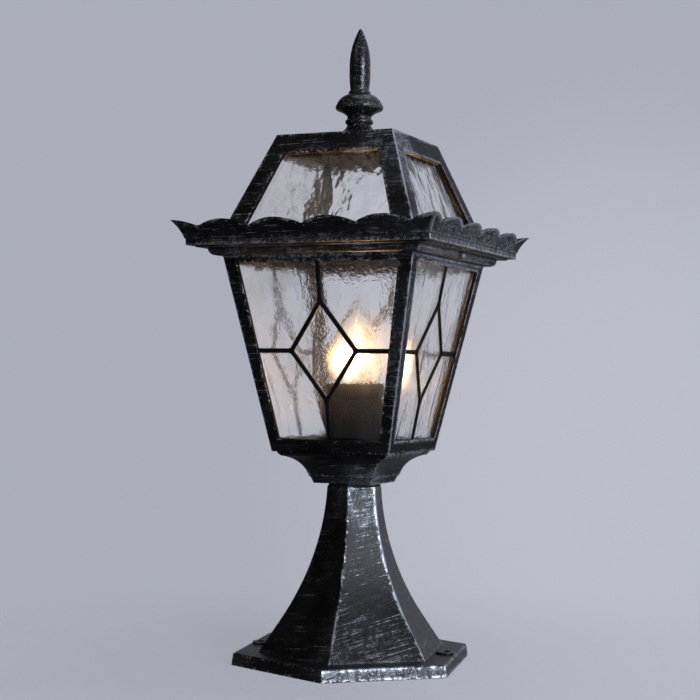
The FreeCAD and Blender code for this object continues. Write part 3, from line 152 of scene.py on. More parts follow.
# Marks of the brush: noise scale, detail, roughness, then the range in which noise turns to silver
FINE_STROKES = (60.0, 3.0, 0.66, 0.58, 0.74)
BROAD_STROKES = (21.0, 4.0, 0.62, 0.55, 0.76)
LONG_STROKES = (26.0, 2.0, 0.5, 0.67, 0.72)
UPRIGHT_STROKES = (60.0, 3.0, 0.6, 0.58, 0.72)
CLUSTERS = (34.0, 3.0, 0.55, 0.4, 0.68)
SPECKLE = (1500.0, 3.0, 0.7, 0.54, 0.66)
SPECKS = (1500.0, 3.0, 0.7, 0.57, 0.68)
BREAKS = (330.0, 2.0, 0.5, 0.4, 0.56)
SAND = (1900.0, 2.0, 0.6, 0.46, 0.72)

# Plain noises of the paint: scale, detail and roughness
FLECK_NOISE = (800.0, 4.0, 0.75)
SWAY_NOISE = (30.0, 1.0, 0.5)
WEAR_NOISE = (120.0, 4.0, 0.65)
RAGGED_NOISE = (520.0, 4.0, 0.7)
GRAIN_NOISE = (1300.0, 3.0, 0.6)
CLOUD_NOISE = (60.0, 3.0, 0.5)
CASTING_NOISE = (150.0, 5.0, 0.62)

# Course of the strokes: squeezed across and swaying
STROKE_SQUEEZE = 34.0
LONG_SQUEEZE = (1.0, 1.0, 1.7)
UPRIGHT_SQUEEZE = (24.0, 24.0, 1.0)
BREAK_SQUEEZE = (1.0, 1.0, 0.3)
BREAK_LEAST = 0.2
SWAY = 1.2 * MM

# How a heavy hand, the lit side and the turn of a face weigh on the silver; the lit side's share is
# painted highlight
LIT_SIDE = (1, 0, 0)
LEVEL = (1, 1, 0)
HEAVY_LIFT = 0.12
SPECKS_LIFT = 0.2
SAND_LEAST = 0.015
SAND_HEAVY = 0.2
FLECK_EDGE = 0.05
# More wear on edges turned to the lit side, as painted highlight
LIT_HIGHLIGHT_WEAR = 0.16
WEAR_CHIPPED = 0.2
WEAR_SPARED = -0.16
WEAR_LESS = 0.06
RAGGED_NOISE_SHARE = 1.8
RAGGED_NEAR_SHARE = 0.22
RAGGED_WEAR_SHARE = 0.9

# Smooth steps of the patina: from, to, and what they give at either end where that isn't 0 and 1
SPOT_EDGE = (1.0, 0.5)
SIDE_FACES = (0.97, 0.6, 0.25, 1.0)
FLAT_FACES = (0.85, 0.97)
OUTER_FACES = (-0.3, -0.05)
# Faces turned to the lit side get more strokes and crossing: painted highlight
LIT_HIGHLIGHT_FACES = (-0.55, 0.2, 0.3, 1.0)
CROSSED_LIT_HIGHLIGHT = (0.2, 0.5)
CROSSED_HEAVY = (0.3, 0.5, 0.0, 0.9)
CROSSED_HEIGHT = (0.2, 0.24)
SLANT_HEIGHT = (0.13, 0.12, 0.02, 0.15)
SPECKLED = (0.0, 1.0, 0.5, 1.0)
LOST_IN_DUST = (0.7, 0.86, 1.0, 0.6)
DUSTED_HEAVY = (0.7, 0.95)
SPARED_STROKES = (0.0, 1.0, 1.0, 0.3)
CONVEX = (0.8, 0.97)
SHARP = (0.02, 0.11)
NEAR_EDGE = (0.0, 0.05)
EDGE_WORN = (0.44, 0.64)
ROUNDING_WORN = (0.42, 0.6)
CHIP_WORN = (1.58, 1.74)
CHIP_NEAR = (0.03, 0.3)
FLAT_EDGES = (0.0, 1.0, 1.0, 0.25)
NOISE_MIDDLE = (0.3, 0.7)

# Edges as the paint feels them
EDGE_RADIUS = 1.0 * MM
CHIP_RADIUS = 3.5 * MM
HOLLOW_REACH = 3.0 * MM
EDGE_SAMPLES = 6

# Relief and roughness of the paint
CASTING_DEPTH = 0.3 * MM
RELIEF_DEPTH = 0.12 * MM
RELIEF_STRENGTH = 0.35
RELIEF_GRAIN = 0.6
RELIEF_SILVER = 0.5
PAINT_SMOOTH = 0.2
PAINT_ROUGH = 0.36
CLOUD_ROUGH = 0.1
INSIDE_ROUGH = 1.0

# Small convex roundings, where the brush left most silver
ROUNDED = "rounded"
ROUNDED_FROM = 0.25
ROUNDED_FULL = 0.7
LEAST_TURN = 0.05 ** 2
LEAST_OPENING = 1e-9

# Glass
GLASS_IOR = 1.5
HAZE_ROUGHNESS = 0.52
CRINKLE_NOISE = (480.0, 2.0, 0.5, 0.4)
CRINKLE_DEPTH = 0.25 * MM
PATCHES = (34.0, 3.0, 0.55, 0.36, 0.58)
PATCH_LEAST = 0.3
DUST_LEAST = 0.6

# Bare metal
SCRATCHES = (900, 900, 200)
SCRATCH_DEPTH = 0.05 * MM
SCRATCH_STRENGTH = 0.12
TARNISH_NOISE = (160.0, 3.0, 0.6)
TARNISH_SHADE = (0.35, 0.7)
TARNISH_RANGE = (0.3, 0.75)
TARNISH_DARK = 0.62
TARNISH_ROUGH = 0.2

# Moulded plastic
MOULD_GRAIN = 2600.0
MOULD_CLOUD = 90.0
MOULD_DEPTH = 0.03 * MM
MOULD_STRENGTH = 0.1
MOULD_PALER = 1.25
MOULD_LIFT = 0.001
MOULD_SMOOTHER = 0.06
MOULD_ROUGHER = 0.08

# Filament, glowing
TUNGSTEN_ROUGHNESS = 0.5
HOT_WITHIN = 1.0 * MM
HOT_UNTIL = 10.0 * MM
COOLER_SHARE = 0.6

# Waves of the panes: span across the pane, span up it, seed
PANE_STEP = 0.8 * MM
BEND_ACROSS = (0.045, 0.06, 0.0)
BEND_UP = (0.045, 0.06, 7.3)
WAVE = (0.016, 0.036, 1.7)
RIPPLE = (0.0052, 0.011, 3.1)
VEIN = (0.03, 0.075, 5.9)
FADE = (0.02, 0.028, 8.8)
BEND_REACH_ACROSS = 0.009
BEND_REACH_UP = 0.012
WAVE_HEIGHT = 0.36 * MM
RIPPLE_HEIGHT = 0.12 * MM
VEIN_HEIGHT = 0.2 * MM
VEIN_WIDTH = 0.11
FADE_LEVEL = 0.6
FADE_RANGE = 1.4
BACK_SEED = 40.0

# The panes: first seed, seed from side to side, swell of the waves, their pitch, look
PANES = {
    "body_pane_": (11.0, 17.0, 1.0, 1.0, "wavy_glass"),
    "roof_pane_": (91.0, 13.0, 1.7, 0.5, "roof_glass"),
}

# Edges sharper than this stay sharp on new pieces
CREASE = math.radians(40.0)

# Coiled filament along the CAD rod's bow
FILAMENT_ROD = 0.8 * MM
COIL_TURNS = 22
COIL_RADIUS = 0.55 * MM
COIL_WIRE = 0.2 * MM
COIL_STEPS = 14
COIL_SIDES = 6

# Thin collar on the lampholder's mouth: inset from the housing's side and height over its top, in mm
COLLAR_PROFILE = (
    (3.0, 0.0), (1.3, 0.0), (0.4, 1.0), (0.4, 9.0), (0.7, 9.8),
    (1.1, 10.0), (1.4, 9.7), (1.5, 9.0), (1.5, 1.8), (3.0, 1.2),
)
COLLAR_SIDES = 96

# Softboxes: place, target, power, colour, width, height
SOFTBOXES = {
    "softbox_right": ((1.05, -0.62, 0.42), (0, 0, 0.15), 11.0, SOFTBOX_COOL, 0.45, 0.8),
    "softbox_top": ((0.1, 0.1, 1.4), (0, 0, 0.2), 3.0, SOFTBOX_PALE, 0.9, 0.9),
    "softbox_front": ((-0.6, -1.2, 1.15), (0, 0, 0.25), 1.3, SOFTBOX_WARM, 0.8, 0.8),
}
BULB_POWER = 0.62
HALO_POWER = 1.15
GLOW_RADIUS = 4.0 * MM

# A soft pool of light on the backdrop, low and to the right of the lamp
POOL_AZIMUTH = CAMERA_AZIMUTH - math.radians(10.5)
POOL_DIP = math.radians(3.0)
POOL_WAY = (
    -math.sin(POOL_AZIMUTH) * math.cos(POOL_DIP),
    math.cos(POOL_AZIMUTH) * math.cos(POOL_DIP),
    -math.sin(POOL_DIP),
)
POOL_EDGE = math.cos(math.radians(15.0))

# Studio as glass and metal see it
SKYWARD = (0, 0, 1)
BRIGHT_SIDE = (0.82, 0.57, 0.0)
BRIGHT_RANGE = (-0.35, 0.55)
BRIGHT_LOW = 0.22
HORIZON = (-0.22, 0.02)
FLOOR_DIP = (0.0, -0.2)
AMBIENT_STRENGTH = 0.25
GLASS_FACES = 4.0
GLASS_GAIN = 1.2

# Floor
FLOOR_RADIUS = 1.2
FLOOR_SIDES = 96
FLOOR_SHOWN = (0.4, 0.1)
FLOOR_SHARE = 0.22
FLOOR_ROUGHNESS = 0.9
FLOOR_GRAIN = 700.0


# Shader nodes

class Shader:
    """A node tree, with short ways to add nodes. A socket given as a value is linked, any other is set."""

    def __init__(self, name, tree=None):
        if tree is None:
            self.material = bpy.data.materials.new(name)
            self.material.use_nodes = True
            tree = self.material.node_tree
        self.tree = tree
        self.tree.nodes.clear()

    def put(self, socket, value):
        if isinstance(value, bpy.types.NodeSocket):
            self.tree.links.new(value, socket)
        else:
            socket.default_value = value

    def add(self, kind, inputs=None, **settings):
        node = self.tree.nodes.new("ShaderNode" + kind)
        for name, value in settings.items():
            setattr(node, name, value)
        for key, value in (inputs or {}).items():
            self.put(node.inputs[key], value)
        return node

    def math(self, operation, first, second=0.0, third=0.0, clamp=False):
        node = self.add("Math", {0: first, 1: second, 2: third}, operation=operation, use_clamp=clamp)
        return node.outputs[0]

    def chain(self, operation, first, others):
        for other in others:
            first = self.math(operation, first, other)
        return first

    def times(self, first, *others):
        return self.chain("MULTIPLY", first, others)

    def plus(self, first, *others):
        return self.chain("ADD", first, others)

    def most(self, first, *others):
        return self.chain("MAXIMUM", first, others)

    def minus(self, first, second):
        return self.math("SUBTRACT", first, second)

    def weighed(self, value, weight, rest):
        """The value times its weight, added to the rest."""
        return self.math("MULTIPLY_ADD", value, weight, rest)

    def scaled(self, vector, scale):
        return self.add("VectorMath", {0: vector, 1: scale}, operation="MULTIPLY").outputs[0]

    def dot(self, first, second):
        return self.add("VectorMath", {0: first, 1: second}, operation="DOT_PRODUCT").outputs["Value"]

    def length(self, vector):
        return self.add("VectorMath", {0: vector}, operation="LENGTH").outputs["Value"]

    def parts(self, vector):
        return self.add("SeparateXYZ", {0: vector}).outputs

    def noise(self, vector, scale, detail=2.0, roughness=0.5, distortion=0.0):
        node = self.add("TexNoise", {
            "Vector": vector,
            "Scale": scale,
            "Detail": detail,
            "Roughness": roughness,
            "Distortion": distortion,
        })
        return node.outputs["Fac"]

    def between(self, value, low, high, to_low=0.0, to_high=1.0):
        """Smooth step of a value from one range to another."""
        node = self.add("MapRange", {
            "Value": value,
            "From Min": low,
            "From Max": high,
            "To Min": to_low,
            "To Max": to_high,
        }, interpolation_type="SMOOTHSTEP")
        return node.outputs["Result"]

    def marks(self, vector, setting, lift=None, least=0.0):
        """Noise cut off to marks, with more of them where the lift is high."""
        scale, detail, roughness, low, high = setting
        value = self.noise(vector, scale, detail, roughness)
        if lift is not None:
            value = self.plus(value, lift)
        return self.between(value, low, high, least, 1.0)

    def bump(self, height, strength, depth, normal=None):
        inputs = {"Strength": strength, "Distance": depth, "Height": height}
        if normal is not None:
            inputs["Normal"] = normal
        return self.add("Bump", inputs).outputs["Normal"]

    def blend(self, factor, first, second):
        """Mix of two colours."""
        node = self.add("Mix", data_type="RGBA")
        colours = [socket for socket in node.inputs if socket.type == "RGBA"]
        self.put(node.inputs[0], factor)
        self.put(colours[0], first)
        self.put(colours[1], second)
        return [socket for socket in node.outputs if socket.type == "RGBA"][0]

    def mixed(self, factor, first, second):
        """Mix of two shaders."""
        return self.add("MixShader", {0: factor, 1: first, 2: second}).outputs[0]

    def finish(self, surface):
        output = self.add("OutputMaterial")
        self.put(output.inputs["Surface"], surface)
        return self.material


def places(shader):
    return shader.add("TexCoord").outputs["Object"]


# Black paint with silver brushed over it by hand

def mark_roundings(mesh):
    """Face attribute: 1 on small convex roundings, 0 on flats and long curves, from the mesh's normals."""
    corners = len(mesh.loops)
    normals = np.empty(corners * 3)
    mesh.corner_normals.foreach_get("vector", normals)
    vertices = np.empty(len(mesh.vertices) * 3)
    mesh.vertices.foreach_get("co", vertices)
    index = np.empty(corners, dtype=int)
    mesh.loops.foreach_get("vertex_index", index)
    normals = normals.reshape(-1, 3, 3)
    points = vertices.reshape(-1, 3)[index].reshape(-1, 3, 3)
    bend = np.zeros(len(points))
    for a, b in ((0, 1), (1, 2), (2, 0)):
        step = points[:, a] - points[:, b]
        swing = normals[:, a] - normals[:, b]
        turn = (swing * swing).sum(1)
        opening = (swing * step).sum(1)
        bent = (turn > LEAST_TURN) & (opening > 0.0)
        bend = np.where(bent, np.maximum(bend, turn / np.maximum(opening, LEAST_OPENING)), bend)
    share = np.clip((bend * MM - ROUNDED_FROM) / (ROUNDED_FULL - ROUNDED_FROM), 0.0, 1.0)
    attribute = mesh.attributes.new(ROUNDED, "FLOAT", "FACE")
    attribute.data.foreach_set("value", share)


def nearness(s, place, spots):
    """How strongly a point lies within any of the spots, each an upright ellipsoid."""
    most = 0.0
    for x, y, z, reach_level, reach_up, strength in spots:
        offset = s.add("VectorMath", {0: place, 1: (x, y, z)}, operation="SUBTRACT").outputs[0]
        away = s.length(s.scaled(offset, (1 / reach_level, 1 / reach_level, 1 / reach_up)))
        most = s.most(most, s.between(away, *SPOT_EDGE, 0.0, strength))
    return most


class Spot:
    """A point on the painted surface: where it lies, how its face turns, how the brush treated it."""

    def __init__(self, s):
        self.place = places(s)
        self.normal = s.add("NewGeometry").outputs["Normal"]
        self.split = s.parts(self.place)
        slope = s.parts(self.normal)["Z"]
        self.side = s.between(slope, *SIDE_FACES)
        self.flat = s.between(s.math("ABSOLUTE", slope), *FLAT_FACES)
        # How far a face turns to the lit side, which the silver follows as painted highlight
        self.light_facing = s.dot(self.normal, LIT_SIDE)
        level = s.add("VectorMath", {0: s.scaled(self.place, LEVEL)}, operation="NORMALIZE").outputs[0]
        self.outside = s.between(s.dot(self.normal, level), *OUTER_FACES)
        self.heavy = nearness(s, self.place, BRUSHED)
        self.spared = nearness(s, self.place, SPARED)
        self.lift = s.times(self.heavy, HEAVY_LIFT)


def stroke_course(s, spot):
    """Coordinates in which strokes run level, and along the nearest side on flat tops and soffits."""
    x, y, z = spot.split["X"], spot.split["Y"], spot.split["Z"]
    square = s.most(s.math("ABSOLUTE", x), s.math("ABSOLUTE", y))
    sway = s.times(s.noise(spot.place, *SWAY_NOISE), SWAY)
    tilt = s.times(s.plus(x, y), s.between(z, *SLANT_HEIGHT))
    across = s.minus(s.plus(z, s.times(square, spot.flat), sway), tilt)
    return s.add("CombineXYZ", {0: x, 1: y, 2: s.times(across, STROKE_SQUEEZE)}).outputs[0]


def strokes_and_lit_highlight(s, spot, flecked):
    """Silver that the brush left on the faces: strokes, dust, sand and flecks, with more strokes towards
    the lit side as painted highlight.
    """
    place, heavy, lift = spot.place, spot.heavy, spot.lift
    along = stroke_course(s, spot)
    fine = s.marks(along, FINE_STROKES, lift)
    broad = s.marks(along, BROAD_STROKES, lift)
    long = s.marks(s.scaled(along, LONG_SQUEEZE), LONG_STROKES)
    clusters = s.marks(place, CLUSTERS, lift)
    speckle = s.marks(place, SPECKLE, lift)
    breaks = s.marks(s.scaled(place, BREAK_SQUEEZE), BREAKS, least=BREAK_LEAST)
    strokes = s.times(s.most(fine, s.times(broad, speckle)), clusters, breaks)
    strokes = s.most(strokes, s.times(long, breaks))
    strokes = s.times(strokes, s.between(speckle, *SPECKLED))

    # Crossed by upright strokes on the lit side of the lantern's head, where the hand was heavy; kept to
    # faces turned to the lit side, as painted highlight
    upright = s.marks(s.scaled(place, UPRIGHT_SQUEEZE), UPRIGHT_STROKES, lift)
    crossed = s.times(s.between(heavy, *CROSSED_HEAVY), s.between(spot.split["Z"], *CROSSED_HEIGHT))
    crossed = s.times(crossed, s.between(spot.light_facing, *CROSSED_LIT_HIGHLIGHT))
    strokes = s.most(strokes, s.times(upright, crossed))

    # Fewer on faces turned from the lit side, which paints light and shade into the silver, and lost in
    # the dust of the heaviest places
    strokes = s.times(strokes, s.between(spot.light_facing, *LIT_HIGHLIGHT_FACES))
    strokes = s.times(strokes, s.between(heavy, *LOST_IN_DUST))
    specks = s.marks(place, SPECKS, s.times(lift, SPECKS_LIFT))
    dusted = s.times(specks, s.between(heavy, *DUSTED_HEAVY))
    sand = s.times(s.marks(place, SAND), s.weighed(heavy, SAND_HEAVY, SAND_LEAST))
    flecks = s.marks(place, FLECK_NOISE + (flecked, flecked + FLECK_EDGE))
    return s.most(strokes, sand, dusted, flecks)


def bare_edges_and_lit_highlight(s, spot, eased):
    """Silver along the edges: bare on their roundings and chipped beside them, with more on edges turned
    to the lit side as painted highlight.
    """
    place = spot.place
    wide = s.add("Bevel", {"Radius": CHIP_RADIUS}, samples=EDGE_SAMPLES).outputs["Normal"]
    hollow = s.add("AmbientOcclusion", {"Distance": HOLLOW_REACH}, samples=EDGE_SAMPLES, only_local=True)
    convex = s.between(hollow.outputs["AO"], *CONVEX)
    sharp = s.between(s.minus(1.0, s.dot(eased, spot.normal)), *SHARP)
    near = s.between(s.minus(1.0, s.dot(wide, spot.normal)), *NEAR_EDGE)
    rounded = s.add("Attribute", attribute_name=ROUNDED).outputs["Fac"]
    # Edges turned to the lit side wear further: painted highlight
    favour_and_lit_highlight = s.minus(s.weighed(spot.light_facing, LIT_HIGHLIGHT_WEAR, spot.lift), WEAR_LESS)
    favour_and_lit_highlight = s.weighed(nearness(s, place, CHIPPED), WEAR_CHIPPED, favour_and_lit_highlight)
    favour_and_lit_highlight = s.weighed(spot.spared, WEAR_SPARED, favour_and_lit_highlight)
    wear_and_lit_highlight = s.plus(s.noise(place, *WEAR_NOISE), favour_and_lit_highlight)
    edges = s.times(sharp, convex, s.between(wear_and_lit_highlight, *EDGE_WORN))
    edges = s.most(edges, s.times(rounded, s.between(wear_and_lit_highlight, *ROUNDING_WORN)))
    ragged = s.times(near, RAGGED_NEAR_SHARE)
    ragged = s.weighed(s.noise(place, *RAGGED_NOISE), RAGGED_NOISE_SHARE, ragged)
    ragged = s.weighed(wear_and_lit_highlight, RAGGED_WEAR_SHARE, ragged)
    beside = s.times(s.between(near, *CHIP_NEAR), convex)
    chips = s.times(s.between(ragged, *CHIP_WORN), beside)
    return s.times(s.most(edges, chips), s.between(spot.flat, *FLAT_EDGES))


def patina(name, brushed, worn, gloss, flecked=0.7, smooth=0.0):
    s = Shader(name)
    spot = Spot(s)
    eased = s.add("Bevel", {"Radius": EDGE_RADIUS}, samples=EDGE_SAMPLES).outputs["Normal"]
    # The silver carries painted highlight: more of it on faces and edges turned to the lit side
    strokes = s.times(strokes_and_lit_highlight(s, spot, flecked), spot.side, brushed)
    strokes = s.times(strokes, s.between(spot.spared, *SPARED_STROKES))
    silver = s.most(strokes, s.times(bare_edges_and_lit_highlight(s, spot, eased), worn))
    silver = s.math("MULTIPLY", silver, spot.outside, clamp=True)

    grain = s.noise(spot.place, *GRAIN_NOISE)
    cloud = s.noise(spot.place, *CLOUD_NOISE)
    paint = s.blend(s.between(cloud, *NOISE_MIDDLE), BLACK_PAINT, WORN_PAINT)
    # Painted shade: faces turned inward take the darker inside colour
    paint = s.blend(spot.outside, SHADED_INSIDE_PAINT, paint)
    roughness = s.between(grain, *NOISE_MIDDLE, PAINT_SMOOTH - smooth, PAINT_ROUGH - smooth)
    roughness = s.plus(roughness, s.times(cloud, CLOUD_ROUGH))
    roughness = s.most(roughness, s.between(spot.outside, 1.0, 0.0, 0.0, INSIDE_ROUGH))
    cast = s.bump(s.noise(spot.place, *CASTING_NOISE), 1.0, CASTING_DEPTH, eased)
    relief = s.plus(s.times(grain, RELIEF_GRAIN), s.times(silver, RELIEF_SILVER))
    body = s.add("BsdfPrincipled", {
        "Base Color": s.blend(silver, paint, SILVER),
        "Metallic": silver,
        "Roughness": roughness,
        "Specular IOR Level": gloss,
        "Normal": s.bump(relief, RELIEF_STRENGTH, RELIEF_DEPTH, cast),
    })
    return s.finish(body.outputs[0])


# Other surfaces

def glass(name, colour, roughness, crinkle, haze, dust):
    """Clear glass that lets the lamps through, finely crinkled, a little hazy and filmed with dust."""
    s = Shader(name)
    place = places(s)
    patches = s.marks(place, PATCHES, least=PATCH_LEAST)
    height = s.times(s.noise(place, *CRINKLE_NOISE), patches)
    body = s.add("BsdfPrincipled", {
        "Base Color": colour,
        "Roughness": roughness,
        "IOR": GLASS_IOR,
        "Transmission Weight": 1.0,
        "Normal": s.bump(height, crinkle, CRINKLE_DEPTH),
    }).outputs[0]
    spread = s.add("BsdfRefraction", {
        "Color": colour,
        "Roughness": HAZE_ROUGHNESS,
        "IOR": GLASS_IOR,
    }, distribution="BECKMANN").outputs[0]
    body = s.mixed(haze, body, spread)
    film = s.add("BsdfTranslucent", {"Color": DUST_FILM}).outputs[0]
    body = s.mixed(s.between(patches, PATCH_LEAST, 1.0, DUST_LEAST * dust, dust), body, film)
    through = s.add("BsdfTransparent", {"Color": colour}).outputs[0]
    shadow = s.add("LightPath").outputs["Is Shadow Ray"]
    return s.finish(s.mixed(shadow, body, through))


def metal(name, colour, roughness):
    """Bare metal with fine drawn scratches and a slight tarnish."""
    s = Shader(name)
    place = places(s)
    lines = s.noise(s.scaled(place, SCRATCHES), 1.0)
    tarnish = s.noise(place, *TARNISH_NOISE)
    dull = tuple(TARNISH_DARK * c for c in colour[:3]) + (1.0,)
    body = s.add("BsdfPrincipled", {
        "Base Color": s.blend(s.between(tarnish, *TARNISH_SHADE), colour, dull),
        "Metallic": 1.0,
        "Roughness": s.between(tarnish, *TARNISH_RANGE, roughness, roughness + TARNISH_ROUGH),
        "Normal": s.bump(lines, SCRATCH_STRENGTH, SCRATCH_DEPTH),
    })
    return s.finish(body.outputs[0])


def plastic(name, colour, roughness, gloss=0.5):
    """Moulded plastic with a fine matt grain."""
    s = Shader(name)
    place = places(s)
    grain = s.noise(place, MOULD_GRAIN)
    least_rough = roughness - MOULD_SMOOTHER
    most_rough = roughness + MOULD_ROUGHER
    paler = tuple(min(1.0, MOULD_PALER * c + MOULD_LIFT) for c in colour[:3]) + (1.0,)
    body = s.add("BsdfPrincipled", {
        "Base Color": s.blend(s.noise(place, MOULD_CLOUD), colour, paler),
        "Roughness": s.between(grain, *NOISE_MIDDLE, least_rough, most_rough),
        "Specular IOR Level": gloss,
        "Normal": s.bump(grain, MOULD_STRENGTH, MOULD_DEPTH),
    })
    return s.finish(body.outputs[0])


def glowing(name, colour, hot_colour, strength):
    """Filament, whiter where it is hottest in the middle."""
    s = Shader(name)
    across = s.math("ABSOLUTE", s.dot(places(s), (1, 0, 0)))
    hot = s.between(across, HOT_UNTIL, HOT_WITHIN)
    body = s.add("BsdfPrincipled", {
        "Base Color": TUNGSTEN,
        "Roughness": TUNGSTEN_ROUGHNESS,
        "Emission Color": s.blend(hot, colour, hot_colour),
        "Emission Strength": s.between(hot, 0.0, 1.0, COOLER_SHARE * strength, strength),
    })
    return s.finish(body.outputs[0])


# Each look: the function that makes it, and its values
LOOKS = {
    "patinated_paint": (patina, dict(brushed=1.0, worn=0.95, gloss=0.17)),
    "turned_paint": (patina, dict(brushed=0.45, worn=0.2, gloss=0.36, flecked=0.58, smooth=0.12)),
    "dull_paint": (patina, dict(brushed=1.0, worn=0.95, gloss=0.05)),
    "black_came": (patina, dict(brushed=0.2, worn=0.0, gloss=0.05)),
    "black_screw": (patina, dict(brushed=0.5, worn=0.8, gloss=0.17)),
    "wavy_glass": (glass, dict(
        colour=PANE_GLASS, roughness=0.015, crinkle=0.68, haze=0.035, dust=0.0003)),
    "roof_glass": (glass, dict(
        colour=PANE_GLASS, roughness=0.015, crinkle=0.5, haze=0.03, dust=0.0003)),
    "bulb_glass": (glass, dict(
        colour=BULB_GLASS, roughness=0.03, crinkle=0.0, haze=0.03, dust=0.002)),
    "zinc_steel": (metal, dict(colour=ZINC, roughness=0.3)),
    "dull_zinc": (metal, dict(colour=DULL_ZINC, roughness=0.5)),
    "brass": (metal, dict(colour=BRASS, roughness=0.26)),
    "holder_plastic": (plastic, dict(colour=HOLDER_BLACK, roughness=0.22, gloss=0.04)),
    "block_plastic": (plastic, dict(colour=BLOCK_IVORY, roughness=0.45)),
    "live_sheath": (plastic, dict(colour=LIVE_BROWN, roughness=0.42)),
    "neutral_sheath": (plastic, dict(colour=NEUTRAL_BLUE, roughness=0.42)),
    "bulb_cap": (metal, dict(colour=NICKEL, roughness=0.28)),
    "cap_glaze": (plastic, dict(colour=GLAZE_BLACK, roughness=0.16)),
    "solder": (metal, dict(colour=SOLDER, roughness=0.35)),
    "lead_wire": (metal, dict(colour=LEAD, roughness=0.3)),
    "filament": (glowing, dict(colour=WARM_GLOW, hot_colour=HOT_GLOW, strength=420.0)),
}
MATERIALS = {name: make(name, **values) for name, (make, values) in LOOKS.items()}

# Nodes whose look differs from the rest of their slot
OWN_LOOK = {
    "finial": "turned_paint",
    "eave": "dull_paint",
    "body_frame": "dull_paint",
    "roof_frame": "dull_paint",
    "body_pane_clips": "dull_zinc",
    "body_clip_screws": "dull_zinc",
    "roof_pane_clips": "dull_zinc",
    "roof_clip_screws": "dull_zinc",
}

# Looks with silver along their roundings
ROUNDED_LOOKS = ("patinated_paint", "dull_paint", "black_screw")

for name, node in NODES.items():
    look = OWN_LOOK.get(name, SLOT_OF[name])
    node.data.materials.clear()
    node.data.materials.append(MATERIALS[look])
    if look in ROUNDED_LOOKS:
        mark_roundings(node.data)


# Pieces that stand for CAD nodes or are set on them

def fitted(name, node, points, faces, look=None):
    """A new mesh, which rides with one CAD node and takes its finish unless another look is named."""
    mesh = bpy.data.meshes.new(name)
    mesh.from_pydata(points, [], faces)
    mesh.validate()
    mesh.polygons.foreach_set("use_smooth", [True] * len(mesh.polygons))
    mesh.set_sharp_from_angle(angle=CREASE)
    piece = bpy.data.objects.new(name, mesh)
    bpy.context.scene.collection.objects.link(piece)
    mesh.materials.append(MATERIALS[look or SLOT_OF[node]])
    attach(piece, NODES[node]["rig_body"])
    return piece


def stand_in(name, node, points, faces, look=None):
    """A new mesh which takes the place of one CAD node."""
    piece = fitted(name, node, points, faces, look)
    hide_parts(node)


def sheet_noise(across, up, setting, seed, pitch=1.0):
    span_across, span_up, own_seed = setting
    x = across / (span_across * pitch)
    y = up / (span_up * pitch)
    return noise.noise(Vector((x, y, seed + own_seed)))


def glass_wave(across, up, seed, swell, pitch):
    """Thickness taken off a pane at a place on it: long waves down the sheet, ripples and a few veins."""
    x = across + BEND_REACH_ACROSS * sheet_noise(across, up, BEND_ACROSS, seed)
    y = up + BEND_REACH_UP * sheet_noise(across, up, BEND_UP, seed)
    wave = sheet_noise(x, y, WAVE, seed, pitch)
    ripple = sheet_noise(x, y, RIPPLE, seed, pitch)
    vein = sheet_noise(x, y, VEIN, seed)
    shown = min(1.0, max(0.0, FADE_LEVEL + FADE_RANGE * sheet_noise(x, y, FADE, seed)))
    ridge = max(0.0, 1.0 - abs(vein) / VEIN_WIDTH) ** 2 * shown
    waves = WAVE_HEIGHT * (0.5 + 0.5 * wave) + RIPPLE_HEIGHT * (0.5 + 0.5 * ripple)
    return swell * waves + VEIN_HEIGHT * ridge


def pane_corners(node, outward):
    """The plate's corners, as front and back rows: foot left, foot right, head left, head right."""
    right = Vector((-outward.y, outward.x, 0))
    unique = {tuple(round(c, 6) for c in v.co) for v in NODES[node].data.vertices}
    corners = sorted((Vector(c) for c in unique), key=lambda c: c.z)
    front, back = [], []
    for row in (corners[:4], corners[4:]):
        row = sorted(row, key=lambda c: c.dot(right))
        for pair in (row[:2], row[2:]):
            near, far = sorted(pair, key=lambda c: c.dot(outward))
            front.append(far)
            back.append(near)
    return front, back


def wavy_pane(node, outward, seed, swell, pitch, look):
    """A pane of poured glass: both faces waved, closed round the edge."""
    front, back = pane_corners(node, outward)
    normal = (front[0] - back[0]).normalized()
    width = max((front[1] - front[0]).length, (front[3] - front[2]).length)
    height = (front[2] - front[0]).length
    columns, rows = int(width / PANE_STEP), int(height / PANE_STEP)
    points, faces = [], []
    for corners, inward, wave_seed in ((front, -normal, seed), (back, normal, seed + BACK_SEED)):
        foot_left, foot_right, head_left, head_right = corners
        for j in range(rows + 1):
            left = foot_left.lerp(head_left, j / rows)
            right = foot_right.lerp(head_right, j / rows)
            span = (right - left).length
            for i in range(columns + 1):
                across = (i / columns - 0.5) * span
                depth = glass_wave(across, j / rows * height, wave_seed, swell, pitch)
                points.append(left.lerp(right, i / columns) + inward * depth)
    line = columns + 1
    sheet = line * (rows + 1)
    for j in range(rows):
        for i in range(columns):
            a = j * line + i
            faces.append((a, a + 1, a + line + 1, a + line))
            faces.append((sheet + a, sheet + a + line, sheet + a + line + 1, sheet + a + 1))
    rim = list(range(columns))
    rim += [j * line + columns for j in range(rows)]
    rim += [rows * line + i for i in range(columns, 0, -1)]
    rim += [j * line for j in range(rows, 0, -1)]
    for a, b in zip(rim, rim[1:] + rim[:1]):
        faces.append((b, a, sheet + a, sheet + b))
    stand_in("wavy_" + node, node, points, faces, look)


for k, side in enumerate(SIDES):
    outward = Matrix.Rotation(math.radians(90 * k), 3, "Z") @ Vector((0, -1, 0))
    for pane, (seed, seed_step, swell, pitch, look) in PANES.items():
        wavy_pane(pane + side, outward, seed + seed_step * k, swell, pitch, look)


